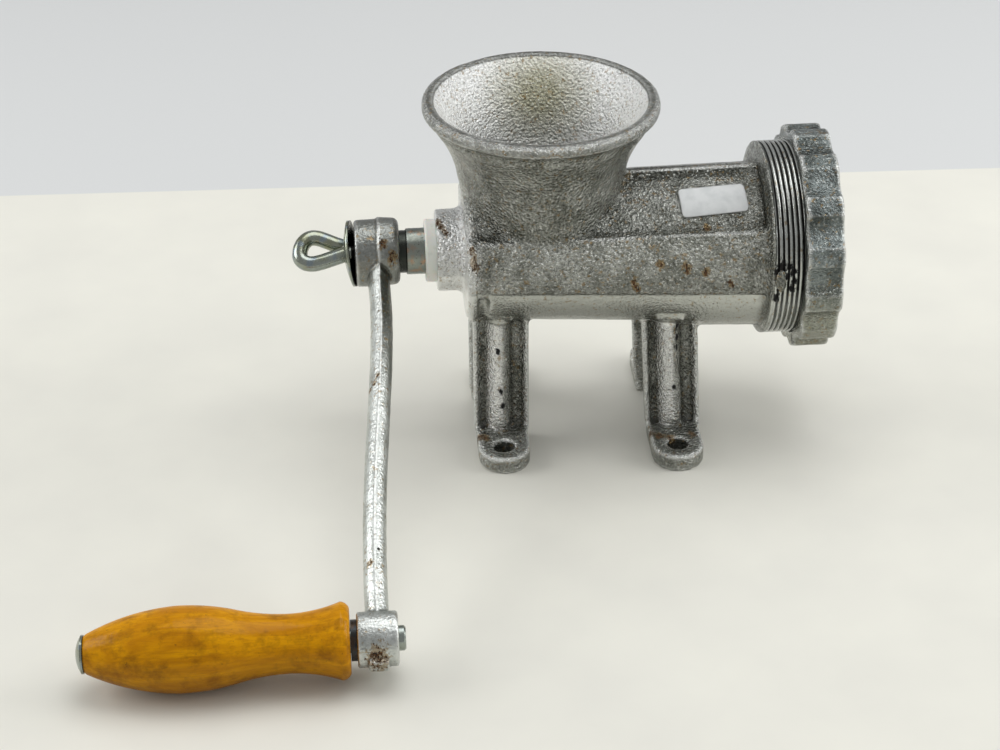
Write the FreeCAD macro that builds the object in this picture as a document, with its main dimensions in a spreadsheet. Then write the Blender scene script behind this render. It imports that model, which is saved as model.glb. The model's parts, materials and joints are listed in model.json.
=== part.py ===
import FreeCAD, Part
import math
import os
import Sketcher
from types import SimpleNamespace
from FreeCAD import Placement, Rotation, Vector

# Manual meat grinder with four bolt-down feet, in millimetres.
# The screw turns on a line along X: the crank is at the -X end, the plate and the ring nut at the +X
# end. -Y is the side of the crank's handle, +Z is up, and the origin is on the bench, in the middle
# of the four bolt holes. Every piece on the shaft line is drawn about that line and lifted to it.

SIZES = {
    # Bench, feet and shaft line
    "shaft_height": 102.7,
    "rear_foot_x": 44.6,
    "rear_foot_y": 40.4,
    "front_foot_x": 44.6,
    "front_foot_y": 45.6,
    "foot_width": 26.6,
    "foot_thickness": 9.0,
    "bolt_hole_radius": 5.3,
    # Legs, as sections seen from above
    "leg_width": 28.5,
    "leg_plate": 7.0,
    "leg_top_depth": 23.0,
    "rear_leg_face_top": 22.6,
    "rear_leg_face_low": 23.6,
    "front_leg_face_top": 24.5,
    "front_leg_face_low": 27.0,
    "front_leg_lean": 3.6,
    "leg_lip": 2.2,
    "leg_channel": 3.0,
    "leg_rib_shift": 1.2,
    "leg_rib_half": 5.8,
    "leg_rib_height": 3.2,
    # Barrel casting, as sections across the shaft line
    "barrel_back": 60.0,
    "barrel_front": 84.0,
    "upper_radius_back": 36.6,
    "upper_radius_front": 38.9,
    "face_radius_back": 42.3,
    "face_radius_front": 44.0,
    "ledge_angle": 36.0,
    "face_low_back": 3.9,
    "face_low_front": 11.0,
    "belly_back": 34.8,
    "belly_middle": 39.6,
    "belly_middle_x": 30.0,
    "belly_swell": 43.8,
    "belly_swell_x": 58.0,
    "belly_front": 45.4,
    "belly_step": 0.8,
    "spine_half": 3.0,
    "spine_height": 3.2,
    "bore_radius_back": 31.0,
    "bore_radius_front": 34.5,
    # Rear wall and boss
    "rear_wall_outside": 62.0,
    "rear_wall_rim": 57.2,
    "rear_wall_inside": 52.0,
    "rear_wall_edge": 2.2,
    "rear_wall_proud": 0.6,
    "face_start": 51.5,
    "throat_step": 0.4,
    "boss_end": 75.9,
    "boss_radius": 20.8,
    "boss_fillet": 4.5,
    # Collar that carries the ring nut
    "collar_back": 79.5,
    "collar_start": 85.5,
    "collar_radius": 49.0,
    "thread_start": 89.6,
    "thread_root_radius": 47.6,
    "collar_end": 116.5,
    "seat_start": 111.0,
    # Hopper, round about an upright line, heights above the shaft
    "hopper_x": 22.5,
    "rim_height": 82.3,
    "rim_radius": 58.6,
    "rim_inner_radius": 53.4,
    "rim_edge": 2.6,
    "lip_depth": 6.4,
    "bell_radius": 52.8,
    "bell_arc": 60.0,
    "bell_foot_height": 43.0,
    "bell_foot_radius": 41.9,
    "neck_height": 16.0,
    "neck_radius": 36.4,
    "hopper_wall": 6.0,
    "throat_radius": 28.5,
    # Ring nut
    "nut_back": 103.6,
    "nut_front": 122.6,
    "nut_radius": 56.6,
    "nut_edge": 1.6,
    "nut_lip": 3.8,
    "nut_mouth_radius": 34.0,
    "nut_lobes": 14,
    "scallop_radius": 13.0,
    "scallop_depth": 3.2,
    "lobe_fillet": 2.4,
    "nut_turned": 16.0,
    "thread_clearance": 0.08,
    # Grinding plate and its key
    "plate_radius": 41.0,
    "plate_clearance": 0.1,
    "plate_hole_radius": 4.0,
    "inner_ring_radius": 16.5,
    "inner_ring_holes": 8,
    "outer_ring_radius": 28.5,
    "outer_ring_holes": 14,
    "key_radius": 2.0,
    "key_length": 13.0,
    "key_in_seat": 5.0,
    "key_play": 0.3,
    # Knife and the stud that carries it
    "knife_thickness": 8.0,
    "knife_hub_radius": 12.0,
    "knife_tip_radius": 31.5,
    "knife_blade_root": 15.0,
    "knife_blade_tip": 10.0,
    "knife_sweep": 3.0,
    "knife_play": 0.15,
    "stud_square": 14.0,
    "stud_radius": 6.0,
    "stud_in_screw": 28.0,
    "stud_recess": 0.4,
    "stud_play": 0.08,
    # Feed screw
    "screw_front": 102.4,
    "screw_core_back": 14.5,
    "screw_core_front": 17.0,
    "screw_head_radius": 22.0,
    "screw_head_length": 9.0,
    "flight_clearance": 0.6,
    "flight_pitch": 38.0,
    "flight_root": 8.0,
    "flight_tip": 4.5,
    # Thrust washer, bush and drive shaft
    "thrust_thickness": 2.0,
    "thrust_radius": 21.0,
    "thrust_play": 0.2,
    "bush_flange": 5.6,
    "bush_flange_radius": 15.9,
    "bush_sleeve_radius": 14.5,
    "bush_edge": 1.2,
    "shaft_radius": 11.7,
    "shaft_play": 0.08,
    "shaft_in_screw": 34.0,
    "shaft_shoulder": 91.0,
    "shaft_neck_radius": 10.8,
    "shaft_square": 15.0,
    "square_play": 0.1,
    "shaft_end_gap": 1.2,
    "screw_hole_depth": 27.0,
    # Crank, drawn lying along -Y
    "crank_length": 223.8,
    "hub_right": 94.3,
    "hub_left": 116.8,
    "hub_split": 105.2,
    "hub_radius": 17.7,
    "hub_draft": 0.8,
    "hub_edge": 1.6,
    "arm_thickness": 11.0,
    "arm_depth_top": 18.6,
    "arm_depth_low": 14.2,
    "arm_start": 11.0,
    "arm_stop": 6.0,
    "arm_sway_right": 2.0,
    "arm_sway_left": 1.4,
    "low_hub_right": 104.7,
    "low_hub_left": 123.2,
    "low_hub_radius": 12.45,
    "gate_width": 9.0,
    "gate_height": 7.5,
    "gate_length": 2.2,
    # Handle
    "spindle_radius": 5.7,
    "spindle_tail": 3.2,
    "spindle_play": 0.1,
    "cap_radius": 8.7,
    "cap_rim": 1.0,
    "cap_dome": 2.6,
    "grip_left": 243.6,
    "grip_right": 126.3,
    "grip_end_play": 0.3,
    "grip_tip_radius": 9.0,
    "grip_belly_radius": 19.4,
    "grip_belly_x": 202.8,
    "grip_belly_arc": 101.0,
    "grip_tail_radius": 16.8,
    "grip_tail_x": 178.5,
    "grip_waist_radius": 13.3,
    "grip_waist_x": 155.0,
    "grip_waist_arc": 93.0,
    "grip_flare_radius": 17.5,
    "grip_flare_x": 130.2,
    "grip_flare_arc": 67.0,
    "grip_end_radius": 14.7,
    "grip_round": 4.6,
    "spindle_washer_radius": 9.3,
    # Dished washer and eye screw
    "washer_gap": 1.2,
    "washer_radius": 16.8,
    "washer_thickness": 1.6,
    "washer_dish": 2.8,
    "washer_dish_arc": 48.0,
    "washer_hole_radius": 4.3,
    "eye_wire_radius": 3.5,
    "eye_thread_radius": 3.9,
    "eye_thread_play": 0.08,
    "eye_thread_edge": 0.6,
    "eye_thread_length": 19.0,
    "eye_neck": 0.5,
    "eye_bend_radius": 6.0,
    "eye_near_angle": 28.0,
    "eye_near_length": 8.6,
    "eye_loop_radius": 8.1,
    "eye_far_angle": 16.0,
    "eye_far_length": 10.0,
    "eye_turned": 44.0,
}


class Size:
    """A number that keeps the formula it comes from, so that a drawing can be bound to it."""

    def __init__(self, value, formula):
        self.value = float(value)
        self.formula = formula

    def __add__(self, other):
        return joined(self, "+", other, lambda a, b: a + b)

    def __radd__(self, other):
        return joined(other, "+", self, lambda a, b: a + b)

    def __sub__(self, other):
        return joined(self, "-", other, lambda a, b: a - b)

    def __rsub__(self, other):
        return joined(other, "-", self, lambda a, b: a - b)

    def __mul__(self, other):
        return joined(self, "*", other, lambda a, b: a * b)

    def __rmul__(self, other):
        return joined(other, "*", self, lambda a, b: a * b)

    def __truediv__(self, other):
        return joined(self, "/", other, lambda a, b: a / b)

    def __neg__(self):
        return joined(0.0, "-", self, lambda a, b: a - b)


def as_size(number):
    """A plain number as a Size; a Size stays as it is."""
    return number if isinstance(number, Size) else Size(number, "%.6f" % number)


def joined(first, sign, second, work):
    first, second = as_size(first), as_size(second)
    return Size(work(first.value, second.value), "(%s %s %s)" % (first.formula, sign, second.formula))


def root(size):
    return Size(math.sqrt(size.value), "sqrt(%s)" % size.formula)


def sine(angle):
    return Size(math.sin(math.radians(angle.value)), "sin(%s)" % angle.formula)


def cosine(angle):
    return Size(math.cos(math.radians(angle.value)), "cos(%s)" % angle.formula)


def arc_sine(ratio):
    return Size(math.degrees(math.asin(ratio.value)), "asin(%s)" % ratio.formula)


def beside(radius, along):
    """The other leg of a right triangle: how far out a circle is at a height along."""
    return root(radius * radius - along * along)


doc = FreeCAD.newDocument("meat_grinder")
sheet = doc.addObject("Spreadsheet::Sheet", "dims")
for row, (alias, number) in enumerate(SIZES.items(), start=1):
    sheet.set("A%d" % row, alias)
    sheet.set("B%d" % row, str(number))
    sheet.setAlias("B%d" % row, alias)
doc.recompute()
d = SimpleNamespace(**{alias: Size(number, "dims.%s" % alias) for alias, number in SIZES.items()})


# Drawing helpers

def bind(thing, field, size):
    """Tie one field of an object to a formula of the sheet."""
    thing.setExpression(field, as_size(size).formula)


def new_body(label, tilt=None):
    """An empty piece whose own X axis is the shaft line, turned about it by tilt degrees.

    Its origin is midway between the rear and front feet; the part's is between the rear ones.
    """
    body = doc.addObject("PartDesign::Body", label)
    body.Label = label
    body.Placement = Placement(Vector(d.rear_foot_x.value, 0, d.shaft_height.value),
                               Rotation(Vector(1, 0, 0), 1))
    bind(body, "Placement.Base.x", d.rear_foot_x)
    bind(body, "Placement.Base.z", d.shaft_height)
    bind(body, "Placement.Rotation.Angle", as_size(0) if tilt is None else tilt)
    return body


def origin_part(body, role):
    return next(part for part in body.Origin.OriginFeatures if part.Role == role)


def new_sketch(body, name, plane="XZ_Plane", shift=(0, 0, 0)):
    """A sketch on one of the body's own planes, its origin moved by shift in the plane's axes."""
    sketch = body.newObject("Sketcher::SketchObject", name)
    sketch.AttachmentSupport = [(origin_part(body, plane), "")]
    sketch.MapMode = "FlatFace"
    sizes = [as_size(part) for part in shift]
    sketch.AttachmentOffset = Placement(Vector(*[size.value for size in sizes]), Rotation())
    for axis, size in zip("xyz", sizes):
        if size.formula != as_size(0).formula:
            bind(sketch, "AttachmentOffset.Base.%s" % axis, size)
    return sketch


def pin_point(sketch, edge, end, x, y):
    """Hold an end of an edge at x, y, both measured from the sketch's origin."""
    for kind, axis, size in (("DistanceX", -2, as_size(x)), ("DistanceY", -1, as_size(y))):
        if size.value == 0.0:
            sketch.addConstraint(Sketcher.Constraint("PointOnObject", edge, end, axis))
        else:
            rule = Sketcher.Constraint(kind, -1, 1, edge, end, size.value)
            bind(sketch, "Constraints[%d]" % sketch.addConstraint(rule), size)


def arc_between(start, end, bend):
    """The short arc from start to end; bend is its radius, plus when it turns left."""
    chord = end - start
    half = chord.Length / 2
    side = Vector(-chord.y, chord.x, 0).normalize() * math.copysign(1, bend)
    centre = (start + end) / 2 + side * math.sqrt(max(bend * bend - half * half, 0))
    first, last = (start, end) if bend > 0 else (end, start)
    angles = [math.atan2(point.y - centre.y, point.x - centre.x) for point in (first, last)]
    return Part.ArcOfCircle(Part.Circle(centre, Vector(0, 0, 1), abs(bend)), *angles)


def outline(sketch, corners, closed=True):
    """Draw a profile through corners (x, y) or (x, y, bend), each tied to the sheet.

    A bend is the radius of the arc that arrives at that corner, minus when it turns right.
    """
    points = [Vector(as_size(corner[0]).value, as_size(corner[1]).value, 0) for corner in corners]
    spans = range(0 if closed else 1, len(corners))
    edges = []
    ends = {}
    for span in spans:
        bend = as_size(corners[span][2]).value if len(corners[span]) > 2 else 0
        edge = len(edges)
        if bend:
            edges.append(arc_between(points[span - 1], points[span], bend))
            ends[span] = (edge, 1, 2) if bend > 0 else (edge, 2, 1)
        else:
            edges.append(Part.LineSegment(points[span - 1], points[span]))
            ends[span] = (edge, 1, 2)
    sketch.addGeometry(edges, False)
    order = list(spans)
    for before, after in zip(order, order[1:] + (order[:1] if closed else [])):
        rule = Sketcher.Constraint("Coincident", ends[before][0], ends[before][2],
                                   ends[after][0], ends[after][1])
        sketch.addConstraint(rule)
    for span in order:
        edge, _, last = ends[span]
        pin_point(sketch, edge, last, *corners[span][:2])
        if len(corners[span]) > 2:
            radius = as_size(corners[span][2])
            radius = radius if radius.value > 0 else -radius
            rule = Sketcher.Constraint("Radius", edge, radius.value)
            bind(sketch, "Constraints[%d]" % sketch.addConstraint(rule), radius)
    if not closed:
        pin_point(sketch, 0, ends[order[0]][1], *corners[0][:2])


def both_sides(half):
    """Half a profile, from its lowest middle point to its highest, made whole by its mirror image."""
    bends = [corner[2:] for corner in half]
    whole = [half[0][:2] + bends[1]] + half[1:]
    for index in range(len(half) - 1, 0, -1):
        x, y = half[index][:2]
        if as_size(x).value == 0:
            continue
        arriving = bends[index + 1] if index + 1 < len(half) else ()
        whole.append((-as_size(x), y) + arriving)
    return whole


def circle(sketch, x, y, radius):
    edge = sketch.addGeometry(Part.Circle(Vector(as_size(x).value, as_size(y).value, 0),
                                          Vector(0, 0, 1), as_size(radius).value), False)
    pin_point(sketch, edge, 3, x, y)
    rule = Sketcher.Constraint("Radius", edge, as_size(radius).value)
    bind(sketch, "Constraints[%d]" % sketch.addConstraint(rule), radius)


def rectangle(sketch, width, height, x=0, y=0):
    left, right = x - width / 2, x + width / 2
    low, high = y - height / 2, y + height / 2
    outline(sketch, [(left, low), (right, low), (right, high), (left, high)])


def turned(body, name, corners, cut=False, upright=False, shift=(0, 0, 0)):
    """A profile turned once round the shaft line, or round the sketch's upright axis."""
    sketch = new_sketch(body, name + "_outline", "XZ_Plane", shift)
    outline(sketch, corners)
    feature = body.newObject("PartDesign::Groove" if cut else "PartDesign::Revolution", name)
    feature.Profile = sketch
    feature.ReferenceAxis = (sketch, ["V_Axis" if upright else "H_Axis"])
    feature.Angle = 360
    return feature


def padded(body, name, sketch, length, back=False):
    feature = body.newObject("PartDesign::Pad", name)
    feature.Profile = sketch
    feature.Reversed = back
    bind(feature, "Length", length)
    return feature


def pocketed(body, name, sketch, length=None, back=False):
    """Cut a sketch into the body, to a depth, or right through both ways without one."""
    feature = body.newObject("PartDesign::Pocket", name)
    feature.Profile = sketch
    feature.Reversed = back
    if length is None:
        feature.Type = "ThroughAll"
        feature.Midplane = True
    else:
        bind(feature, "Length", length)
    return feature


def lofted(body, name, sketches, ruled=True):
    feature = body.newObject("PartDesign::AdditiveLoft", name)
    feature.Profile = sketches[0]
    feature.Sections = sketches[1:]
    feature.Ruled = ruled
    return feature


def repeated(body, name, features, count, axis="X_Axis"):
    """The same features count times round one of the body's axes."""
    pattern = body.newObject("PartDesign::PolarPattern", name)
    pattern.Originals = features
    pattern.Axis = (origin_part(body, axis), [""])
    pattern.Angle = 360
    bind(pattern, "Occurrences", count)
    body.Tip = pattern
    return pattern


def mirrored(body, name, features):
    """The same features again on the other side of the upright plane through the shaft."""
    pattern = body.newObject("PartDesign::Mirrored", name)
    pattern.Originals = features
    pattern.MirrorPlane = (origin_part(body, "XZ_Plane"), [""])
    body.Tip = pattern
    return pattern


def rounded(body, name, radius, chosen):
    """Round the edges of the body's last shape for which chosen(edge) is true."""
    doc.recompute()
    base = body.Tip
    edges = ["Edge%d" % (i + 1) for i, edge in enumerate(base.Shape.Edges) if chosen(edge)]
    feature = body.newObject("PartDesign::Fillet", name)
    feature.Base = (base, edges)
    bind(feature, "Radius", radius)
    return feature


# Housing: one casting with the barrel, hopper, rear boss, collar and four legs

def barrel_section(body, name, x, upper, face, low, bottom):
    """Across the barrel: a deep belly, a raised face on each side, and a spine on top."""
    ledge = upper * sine(d.ledge_angle)
    step = d.belly_step
    side, drop = face * cosine(low) - step, face * sine(low)
    deep = bottom - drop
    belly = (side * side + deep * deep) / (2 * deep)
    half = [
        (0, -bottom),
        (-side, -drop, -belly),
        (-(side + step), -drop),
        (-beside(face, ledge), ledge, -face),
        (-(upper * cosine(d.ledge_angle)), ledge),
        (-d.spine_half, beside(upper, d.spine_half), -upper),
        (-(d.spine_half * 0.85), upper + d.spine_height),
    ]
    sketch = new_sketch(body, name, "YZ_Plane", (0, 0, x))
    outline(sketch, both_sides(half))
    return sketch


def leg_section(body, name, x, height, face, rib):
    """From above: a plate with a lip at each edge, two channels, and a round rib between them."""
    half_width, lip = d.leg_width / 2, d.leg_lip
    back, front, channel = d.leg_plate - face, -face, d.leg_channel - face
    left, right = -(d.leg_rib_half + d.leg_rib_shift), d.leg_rib_half - d.leg_rib_shift
    tall = d.leg_channel + rib
    bend = (d.leg_rib_half * d.leg_rib_half + tall * tall) / (2 * tall)
    sketch = new_sketch(body, name, "XY_Plane", (x, 0, height))
    outline(sketch, [
        (-half_width, back),
        (-half_width, front),
        (-(half_width - lip), front),
        (-(half_width - lip * 1.5), channel),
        (left, channel),
        (-d.leg_rib_shift, front - rib, bend),
        (right, channel, bend),
        (half_width - lip * 1.5, channel),
        (half_width - lip, front),
        (half_width, front),
        (half_width, back),
    ])
    return sketch


def leg(body, name, x, lean, hole_y, face_top, face_low):
    """One leg on the -Y side, from inside the barrel's floor to its foot, with the bolt hole."""
    top = leg_section(body, name + "_top", x - lean, -d.leg_top_depth, face_top, d.leg_rib_height)
    low = leg_section(body, name + "_low", x, d.foot_thickness - d.shaft_height - 1, face_low,
                      d.leg_rib_height)
    shank = lofted(body, name, [top, low])
    half_width = d.foot_width / 2
    back = d.leg_plate - face_low
    sketch = new_sketch(body, name + "_foot_outline", "XY_Plane", (x, 0, -d.shaft_height))
    outline(sketch, [
        (-half_width, back),
        (-half_width, -hole_y),
        (0, -(hole_y + half_width), half_width),
        (half_width, -hole_y, half_width),
        (half_width, back),
    ])
    foot = padded(body, name + "_foot", sketch, d.foot_thickness)
    hole = new_sketch(body, name + "_hole_outline", "XY_Plane", (x, 0, -d.shaft_height))
    circle(hole, 0, -hole_y, d.bolt_hole_radius)
    drilled = pocketed(body, name + "_hole", hole, d.foot_thickness + 1, back=True)
    return [shank, foot, drilled]


def make_housing():
    body = new_body("housing")
    length = d.barrel_back + d.barrel_front

    def along(x, first, last):
        """A radius of the barrel at x, between its back and front values."""
        return first + (last - first) * ((x + d.barrel_back) / length)

    def section(name, x, belly, grow=as_size(0), raised=True):
        upper = along(x, d.upper_radius_back, d.upper_radius_front) + grow
        face = along(x, d.face_radius_back, d.face_radius_front) + grow if raised else upper + 0.2
        low = along(x, d.face_low_back, d.face_low_front)
        return barrel_section(body, name, x, upper, face, low, belly + grow)

    middle_x, swell_x = d.belly_middle_x, d.belly_swell_x
    lofted(body, "barrel", [
        section("barrel_back_section", -d.face_start, d.belly_back),
        section("barrel_middle_section", middle_x, d.belly_middle),
        section("barrel_swell_section", swell_x, d.belly_swell),
        section("barrel_front_section", d.barrel_front, d.belly_front),
    ])
    wall, rim, edge = -d.rear_wall_outside, -d.rear_wall_rim, d.rear_wall_edge
    proud = d.rear_wall_proud
    lofted(body, "barrel_throat", [
        section("throat_back_section", rim - 1, d.belly_back, -d.throat_step, raised=False),
        section("throat_front_section", 1 - d.face_start, d.belly_back, -d.throat_step,
                raised=False),
    ])
    lofted(body, "rear_wall", [
        section("wall_edge_section", wall, d.belly_back, proud - edge),
        section("wall_back_section", wall + edge, d.belly_back, proud),
        section("wall_front_section", rim, d.belly_back, proud),
    ])
    turned(body, "rear_boss", [
        (-d.boss_end, 0),
        (-d.boss_end, d.boss_radius),
        (wall - d.boss_fillet, d.boss_radius),
        (wall, d.boss_radius + d.boss_fillet, d.boss_fillet),
        (wall + 2, d.boss_radius + d.boss_fillet),
        (wall + 2, 0),
    ])
    round_start = d.collar_radius - (d.collar_start - d.collar_back)
    turned(body, "collar", [
        (d.collar_back, 0),
        (d.collar_back, round_start),
        (d.collar_start, d.collar_radius, d.collar_back - d.collar_start),
        (d.thread_start, d.collar_radius),
        (d.thread_start, d.thread_root_radius),
        (d.collar_end - 1, d.thread_root_radius),
        (d.collar_end, d.thread_root_radius - 1),
        (d.collar_end, 0),
    ])

    axis = (-d.hopper_x, 0, 0)
    rim_top, edge = d.rim_height, d.rim_edge
    turned(body, "hopper", [
        (0, 0),
        (d.neck_radius - 0.5, 0),
        (d.neck_radius, d.neck_height),
        (d.bell_foot_radius, d.bell_foot_height),
        (d.bell_radius, rim_top - d.lip_depth - d.lip_depth, -d.bell_arc),
        (d.rim_radius, rim_top - d.lip_depth + 1, -(d.lip_depth * 1.3)),
        (d.rim_radius, rim_top - edge),
        (d.rim_radius - edge, rim_top, edge),
        (0, rim_top),
    ], upright=True, shift=axis)

    rear = leg(body, "rear_leg", -d.rear_foot_x, as_size(0), d.rear_foot_y,
               d.rear_leg_face_top, d.rear_leg_face_low)
    front = leg(body, "front_leg", d.front_foot_x, d.front_leg_lean, d.front_foot_y,
                d.front_leg_face_top, d.front_leg_face_low)
    mirrored(body, "far_legs", rear + front)

    wall = d.hopper_wall
    turned(body, "funnel", [
        (0, 0),
        (d.throat_radius, 0),
        (d.throat_radius, d.neck_height),
        (d.bell_foot_radius - wall, d.bell_foot_height + 1),
        (d.rim_inner_radius, rim_top, -(d.bell_arc * 1.4)),
        (d.rim_inner_radius, rim_top + 1),
        (0, rim_top + 1),
    ], cut=True, upright=True, shift=axis)
    turned(body, "bore", [
        (-d.boss_end - 1, 0),
        (-d.boss_end - 1, d.bush_sleeve_radius),
        (-d.rear_wall_inside, d.bush_sleeve_radius),
        (-d.rear_wall_inside, d.bore_radius_back),
        (d.seat_start, d.bore_radius_front),
        (d.seat_start, d.plate_radius + d.plate_clearance),
        (d.collar_end + 1, d.plate_radius + d.plate_clearance),
        (d.collar_end + 1, 0),
    ], cut=True)
    key = new_sketch(body, "key_hole_outline", "YZ_Plane", (0, 0, d.collar_end))
    circle(key, 0, -d.plate_radius, d.key_radius)
    pocketed(body, "key_hole", key, d.collar_end - d.seat_start - d.key_in_seat + d.key_length)
    return body


# Cutting end: key, plate, knife, stud and ring nut

def make_plate_key():
    body = new_body("plate_key")
    turned(body, "pin", [
        (d.seat_start + d.key_in_seat - d.key_length, 0),
        (d.seat_start + d.key_in_seat - d.key_length, d.key_radius),
        (d.seat_start + d.key_in_seat, d.key_radius),
        (d.seat_start + d.key_in_seat, 0),
    ], shift=(0, -d.plate_radius, 0))
    return body


def make_grinding_plate():
    body = new_body("grinding_plate")
    front = d.nut_front - d.nut_lip
    turned(body, "disc", [
        (d.seat_start, d.stud_radius + d.stud_play),
        (d.seat_start, d.plate_radius),
        (front - 1, d.plate_radius),
        (front, d.plate_radius - 1),
        (front, d.stud_radius + d.stud_play),
    ])
    for ring, radius, count in (("inner", d.inner_ring_radius, d.inner_ring_holes),
                                ("outer", d.outer_ring_radius, d.outer_ring_holes)):
        sketch = new_sketch(body, ring + "_hole_outline", "YZ_Plane", (0, 0, d.seat_start))
        circle(sketch, 0, radius, d.plate_hole_radius)
        hole = pocketed(body, ring + "_hole", sketch)
        repeated(body, ring + "_ring", [hole], count)
    notch = new_sketch(body, "notch_outline", "YZ_Plane", (0, 0, d.seat_start))
    rectangle(notch, 2 * (d.key_radius + d.key_play), 2 * (d.key_radius + d.key_play), 0,
              -d.plate_radius)
    pocketed(body, "notch", notch)
    return body


def make_knife():
    """Four swept blades on a square hub, flush against the plate."""
    body = new_body("cross_knife")
    front = d.seat_start - d.knife_play
    hub = new_sketch(body, "hub_outline", "YZ_Plane", (0, 0, front))
    circle(hub, 0, 0, d.knife_hub_radius)
    padded(body, "hub", hub, d.knife_thickness, back=True)
    blade = new_sketch(body, "blade_outline", "YZ_Plane", (0, 0, front))
    root_y, tip = d.knife_hub_radius - 3, d.knife_tip_radius
    outline(blade, [
        (-d.knife_blade_root / 2, root_y),
        (d.knife_blade_root / 2, root_y),
        (d.knife_blade_tip / 2 + d.knife_sweep, tip - 1),
        (d.knife_sweep - d.knife_blade_tip / 2, tip),
    ])
    arm = padded(body, "blade", blade, d.knife_thickness - 1.5, back=True)
    repeated(body, "blades", [arm], as_size(4))
    square = new_sketch(body, "square_outline", "YZ_Plane", (0, 0, front))
    side = d.stud_square + 2 * d.square_play
    rectangle(square, side, side)
    pocketed(body, "square", square)
    return body


def make_knife_stud():
    """Steel stud pressed into the screw: a square for the knife, then a journal for the plate."""
    body = new_body("knife_stud")
    end = d.nut_front - d.nut_lip - d.stud_recess
    turned(body, "journal", [
        (d.screw_front - d.stud_in_screw, 0),
        (d.screw_front - d.stud_in_screw, d.stud_radius),
        (end - 1, d.stud_radius),
        (end, d.stud_radius - 1),
        (end, 0),
    ])
    square = new_sketch(body, "square_outline", "YZ_Plane", (0, 0, d.screw_front))
    rectangle(square, d.stud_square, d.stud_square)
    padded(body, "square", square, d.seat_start - d.knife_play - d.screw_front)
    return body


def make_ring_nut():
    """Cast ring with a wavy edge for the hand, whose lip clamps the plate."""
    tilt = -d.nut_turned
    body = new_body("ring_nut", tilt)
    disc = new_sketch(body, "disc_outline", "YZ_Plane", (0, 0, d.nut_back))
    circle(disc, 0, 0, d.nut_radius)
    padded(body, "disc", disc, d.nut_front - d.nut_back)
    sketch = new_sketch(body, "scallop_outline", "YZ_Plane", (0, 0, d.nut_back))
    circle(sketch, 0, d.nut_radius - d.scallop_depth + d.scallop_radius, d.scallop_radius)
    scallop = pocketed(body, "scallop", sketch)
    repeated(body, "lobes", [scallop], d.nut_lobes)

    def crest(edge):
        return edge.Curve.TypeId == "Part::GeomLine" and abs(edge.Curve.Direction.x) > 0.99
    rounded(body, "lobe_rounding", d.lobe_fillet, crest)

    def rim(edge):
        ends = [vertex.Point.x for vertex in edge.Vertexes]
        return abs(ends[0] - ends[-1]) < 0.01
    rounded(body, "end_rounding", d.nut_edge, rim)
    bore = d.thread_root_radius + d.thread_clearance
    lip = d.nut_front - d.nut_lip
    turned(body, "inside", [
        (d.nut_back - 1, 0),
        (d.nut_back - 1, bore + 1),
        (d.nut_back, bore + 1),
        (d.nut_back + 1, bore),
        (lip, bore),
        (lip, d.nut_mouth_radius),
        (d.nut_front - 2, d.nut_mouth_radius),
        (d.nut_front, d.nut_mouth_radius + 2),
        (d.nut_front + 1, d.nut_mouth_radius + 2),
        (d.nut_front + 1, 0),
    ], cut=True)
    return body


# Screw line: feed screw, washer, bush and drive shaft

def make_feed_screw():
    """A cast worm: a core that thickens to the front and one flight that follows the bore."""
    body = new_body("feed_screw")
    back = d.thrust_thickness + d.thrust_play - d.rear_wall_inside
    head = d.screw_front - d.screw_head_length
    turned(body, "core", [
        (back, 0),
        (back, d.thrust_radius),
        (back + 5, d.thrust_radius),
        (back + 9, d.screw_core_back),
        (head, d.screw_core_front),
        (head + 3, d.screw_head_radius),
        (d.screw_front, d.screw_head_radius),
        (d.screw_front, 0),
    ])
    start = back + d.flight_root / 2 + 0.7
    inner = d.screw_core_back - 2
    profile = new_sketch(body, "flight_outline", "XZ_Plane", (start, 0, 0))
    outline(profile, [
        (-(d.flight_root / 2), inner),
        (d.flight_root / 2, inner),
        (d.flight_tip / 2, d.bore_radius_front),
        (-(d.flight_tip / 2), d.bore_radius_front),
    ])
    flight = body.newObject("PartDesign::AdditiveHelix", "flight")
    flight.Profile = profile
    flight.ReferenceAxis = (profile, ["H_Axis"])
    flight.Mode = "pitch-height-angle"
    bind(flight, "Pitch", d.flight_pitch)
    bind(flight, "Height", head - start + 2)
    flight.Angle = 0
    flight.LeftHanded = True
    slope = (d.bore_radius_front - d.bore_radius_back) / (d.seat_start + d.rear_wall_inside)
    tip = d.bore_radius_back - d.flight_clearance
    turned(body, "tip_taper", [
        (-d.rear_wall_inside, tip),
        (d.seat_start, tip + slope * (d.seat_start + d.rear_wall_inside)),
        (d.seat_start, d.bore_radius_front + 5),
        (-d.rear_wall_inside, d.bore_radius_front + 5),
    ], cut=True)
    inside = back + d.shaft_in_screw
    turned(body, "holes", [
        (back - 1, 0),
        (back - 1, d.shaft_radius),
        (inside, d.shaft_radius),
        (inside, d.stud_radius * 0.7),
        (d.screw_front - d.stud_in_screw, d.stud_radius * 0.7),
        (d.screw_front - d.stud_in_screw, d.stud_radius),
        (d.screw_front + 1, d.stud_radius),
        (d.screw_front + 1, 0),
    ], cut=True)
    return body


def make_thrust_washer():
    body = new_body("thrust_washer")
    inner = d.shaft_radius + d.shaft_play
    back = -d.rear_wall_inside
    turned(body, "ring", [
        (back, inner),
        (back, d.thrust_radius),
        (back + d.thrust_thickness, d.thrust_radius),
        (back + d.thrust_thickness, inner),
    ])
    return body


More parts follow.
